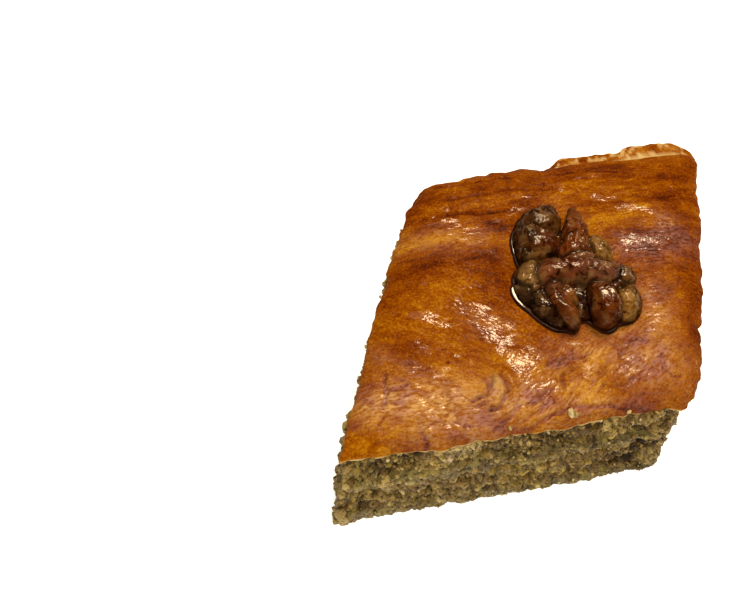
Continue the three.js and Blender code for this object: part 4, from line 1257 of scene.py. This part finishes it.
# ---- Crumbs on the lid and by the left cut ---------------------------------------------------------
# x, y, height above the board or None for on the lid, size, tone
LOOSE_CRUMBS = {
    "rim crumb": (-6.2, -28.3, None, 0.75, 0.95),
    "rim crumb side": (-5.4, -28.6, None, 0.5, 0.85),
    "rim crumb small": (3.9, -29.3, None, 0.4, 0.9),
    "rim bit": (-16.9, -28.9, None, 0.4, 0.85),
    "left crumb high": (-24.6, 16.6, 19.6, 0.8, 0.75),
    "left crumb below": (-25.4, 14.0, 19.4, 0.9, 0.6),
    "left crumb middle": (-29.2, 6.8, 19.2, 1.0, 0.5),
    "left crumb middle twin": (-30.0, 5.2, 19.4, 0.8, 0.65),
    "left crumb low": (-35.6, -7.6, 19.2, 0.7, 0.6),
    "left crumb corner": (-42.0, -21.4, 18.6, 0.9, 0.75),
    "knob of dough": (-44.3, -30.3, 1.7, 1.5, 0.78),
    "knob of dough high": (-44.6, -29.6, 3.4, 1.1, 0.7),
}


def loose_crumbs():
    """Single crumbs at named places, each a rough ball, on the skin of the lid or by the cuts."""
    x, y, z, size, tone = np.array(list(LOOSE_CRUMBS.values()), float).T
    on_lid = np.isnan(z)
    z[on_lid] = lid_floor(x[on_lid], y[on_lid]) + size[on_lid] * 0.15
    points, faces, each = rough_balls(np.c_[x, y, z], size, 2, 0.16, 0.4)
    colours = np.repeat(tones_of(CRUMB_TONES, tone), each, 0)
    add_piece("loose_crumbs", points, [faces], NUT_CRUMB, colours=colours)


# ---- Assembly ------------------------------------------------------------------------------------
lid_crust()
back_ledge()
base = crumb_layer(
    "base_sheet", "base_pastry", SHEET, 0.0, BASE_TOP - SHOWN_GAP, 8, 3, 0.45, 5,
    {"front": -0.1, "right": -1.2, "back": 0.8, "left": 0.7}, 0.8,
    knob=0.9, base_tone=0.5, spread=0.9, gap=0.6)
lower = crumb_layer(
    "lower_nut_crumb", "lower_nut_filling", NUT, BASE_TOP, LOWER_NUT_TOP - SHOWN_GAP, 30, 11, 1.25, 3.4,
    {"front": -0.6, "right": -2.0, "back": 0.3, "left": 0.9}, 1.0)
middle = crumb_layer(
    "middle_sheet", "middle_pastry", SHEET, LOWER_NUT_TOP, MIDDLE_TOP - SHOWN_GAP, 12, 23, 0.8, 4.6,
    {"front": -0.2, "right": -2.3, "back": 0.8, "left": 1.1}, 0.75,
    base_tone=0.45, spread=0.9, gap=0.8)
upper = crumb_layer(
    "upper_nut_crumb", "upper_nut_filling", NUT, MIDDLE_TOP, LID_EDGE + 0.1, 22, 37, 1.1, 3.2,
    {"front": -1.2, "right": -3.0, "back": 0, "left": 0.7}, 0.95, domed=ROOF_RISE - 0.5)
scatter_crumbs("fine_grains", (lower, upper), 1500, (0.16, 0.5), 1, 0.42, 0.5, (0.25, 0.8), 0.4)
scatter_crumbs("nut_bits", (lower, middle, upper), 260, (0.45, 1.2), 2, 0.22, 0.5, (0.3, 0.85), 0.6)
scatter_crumbs("sheet_grains", (base, middle), 700, (0.16, 0.45), 1, 0.2, 0.3, (0.4, 1.0), 0.4)
scatter_crumbs("rim_crumbs", (upper,), 420, (0.25, 0.75), 1, 0.3, 0.45, (0.25, 1.0), 0.1, (0.84, 1))
walnut_kernel()
syrup_pool()
loose_crumbs()


# ---- Board and light -----------------------------------------------------------------------------
def add_board():
    """A square sheet under the piece, far wider than the view."""
    side = np.linspace(-0.9, 0.9, 7)
    x, y = np.meshgrid(side, side)
    mesh = bpy.data.meshes.new("board")
    mesh.from_pydata(np.c_[x.ravel(), y.ravel(), np.zeros(x.size)].tolist(), [], grid_faces(7, 7).tolist())
    mesh.materials.append(board())
    sheet = new_object("board", mesh)


LIGHTS_AIM = np.array([0, 0, 0.022])


def add_softbox(name, azimuth, elevation, distance, size, power, colour, glossy=True):
    """A rectangular soft light that faces the piece: azimuth is clockwise from +Y, in degrees."""
    a, e = math.radians(azimuth), math.radians(elevation)
    away = np.array([math.sin(a) * math.cos(e), math.cos(a) * math.cos(e), math.sin(e)])
    data = bpy.data.lights.new(name, "AREA")
    data.shape = "RECTANGLE"
    data.size, data.size_y = size
    data.energy = power
    data.color = linear(colour)[:3]
    lamp = new_object(name, data)
    lamp.visible_glossy = glossy
    right = np.array([math.cos(a), -math.sin(a), 0.0])
    stand(lamp, right, np.cross(away, right), away, LIGHTS_AIM + away * distance)


add_board()
add_softbox("key_softbox", 31, 56, 0.8, (0.23, 0.29), 5.8, "#ffe2b6")
add_softbox("wide_softbox", 28, 58, 0.8, (0.8, 0.8), 1.8, "#ffe6c8")
add_softbox("front_fill", -160, 50, 1.0, (0.9, 0.7), 13.0, "#fff4e4", glossy=False)
world = bpy.data.worlds.new("studio")
world.use_nodes = True
sky = world.node_tree.nodes["Background"].inputs
sky["Color"].default_value = linear("#fff8ee")
sky["Strength"].default_value = 0.03
bpy.context.scene.world = world
bpy.context.scene.view_settings.view_transform = "Standard"
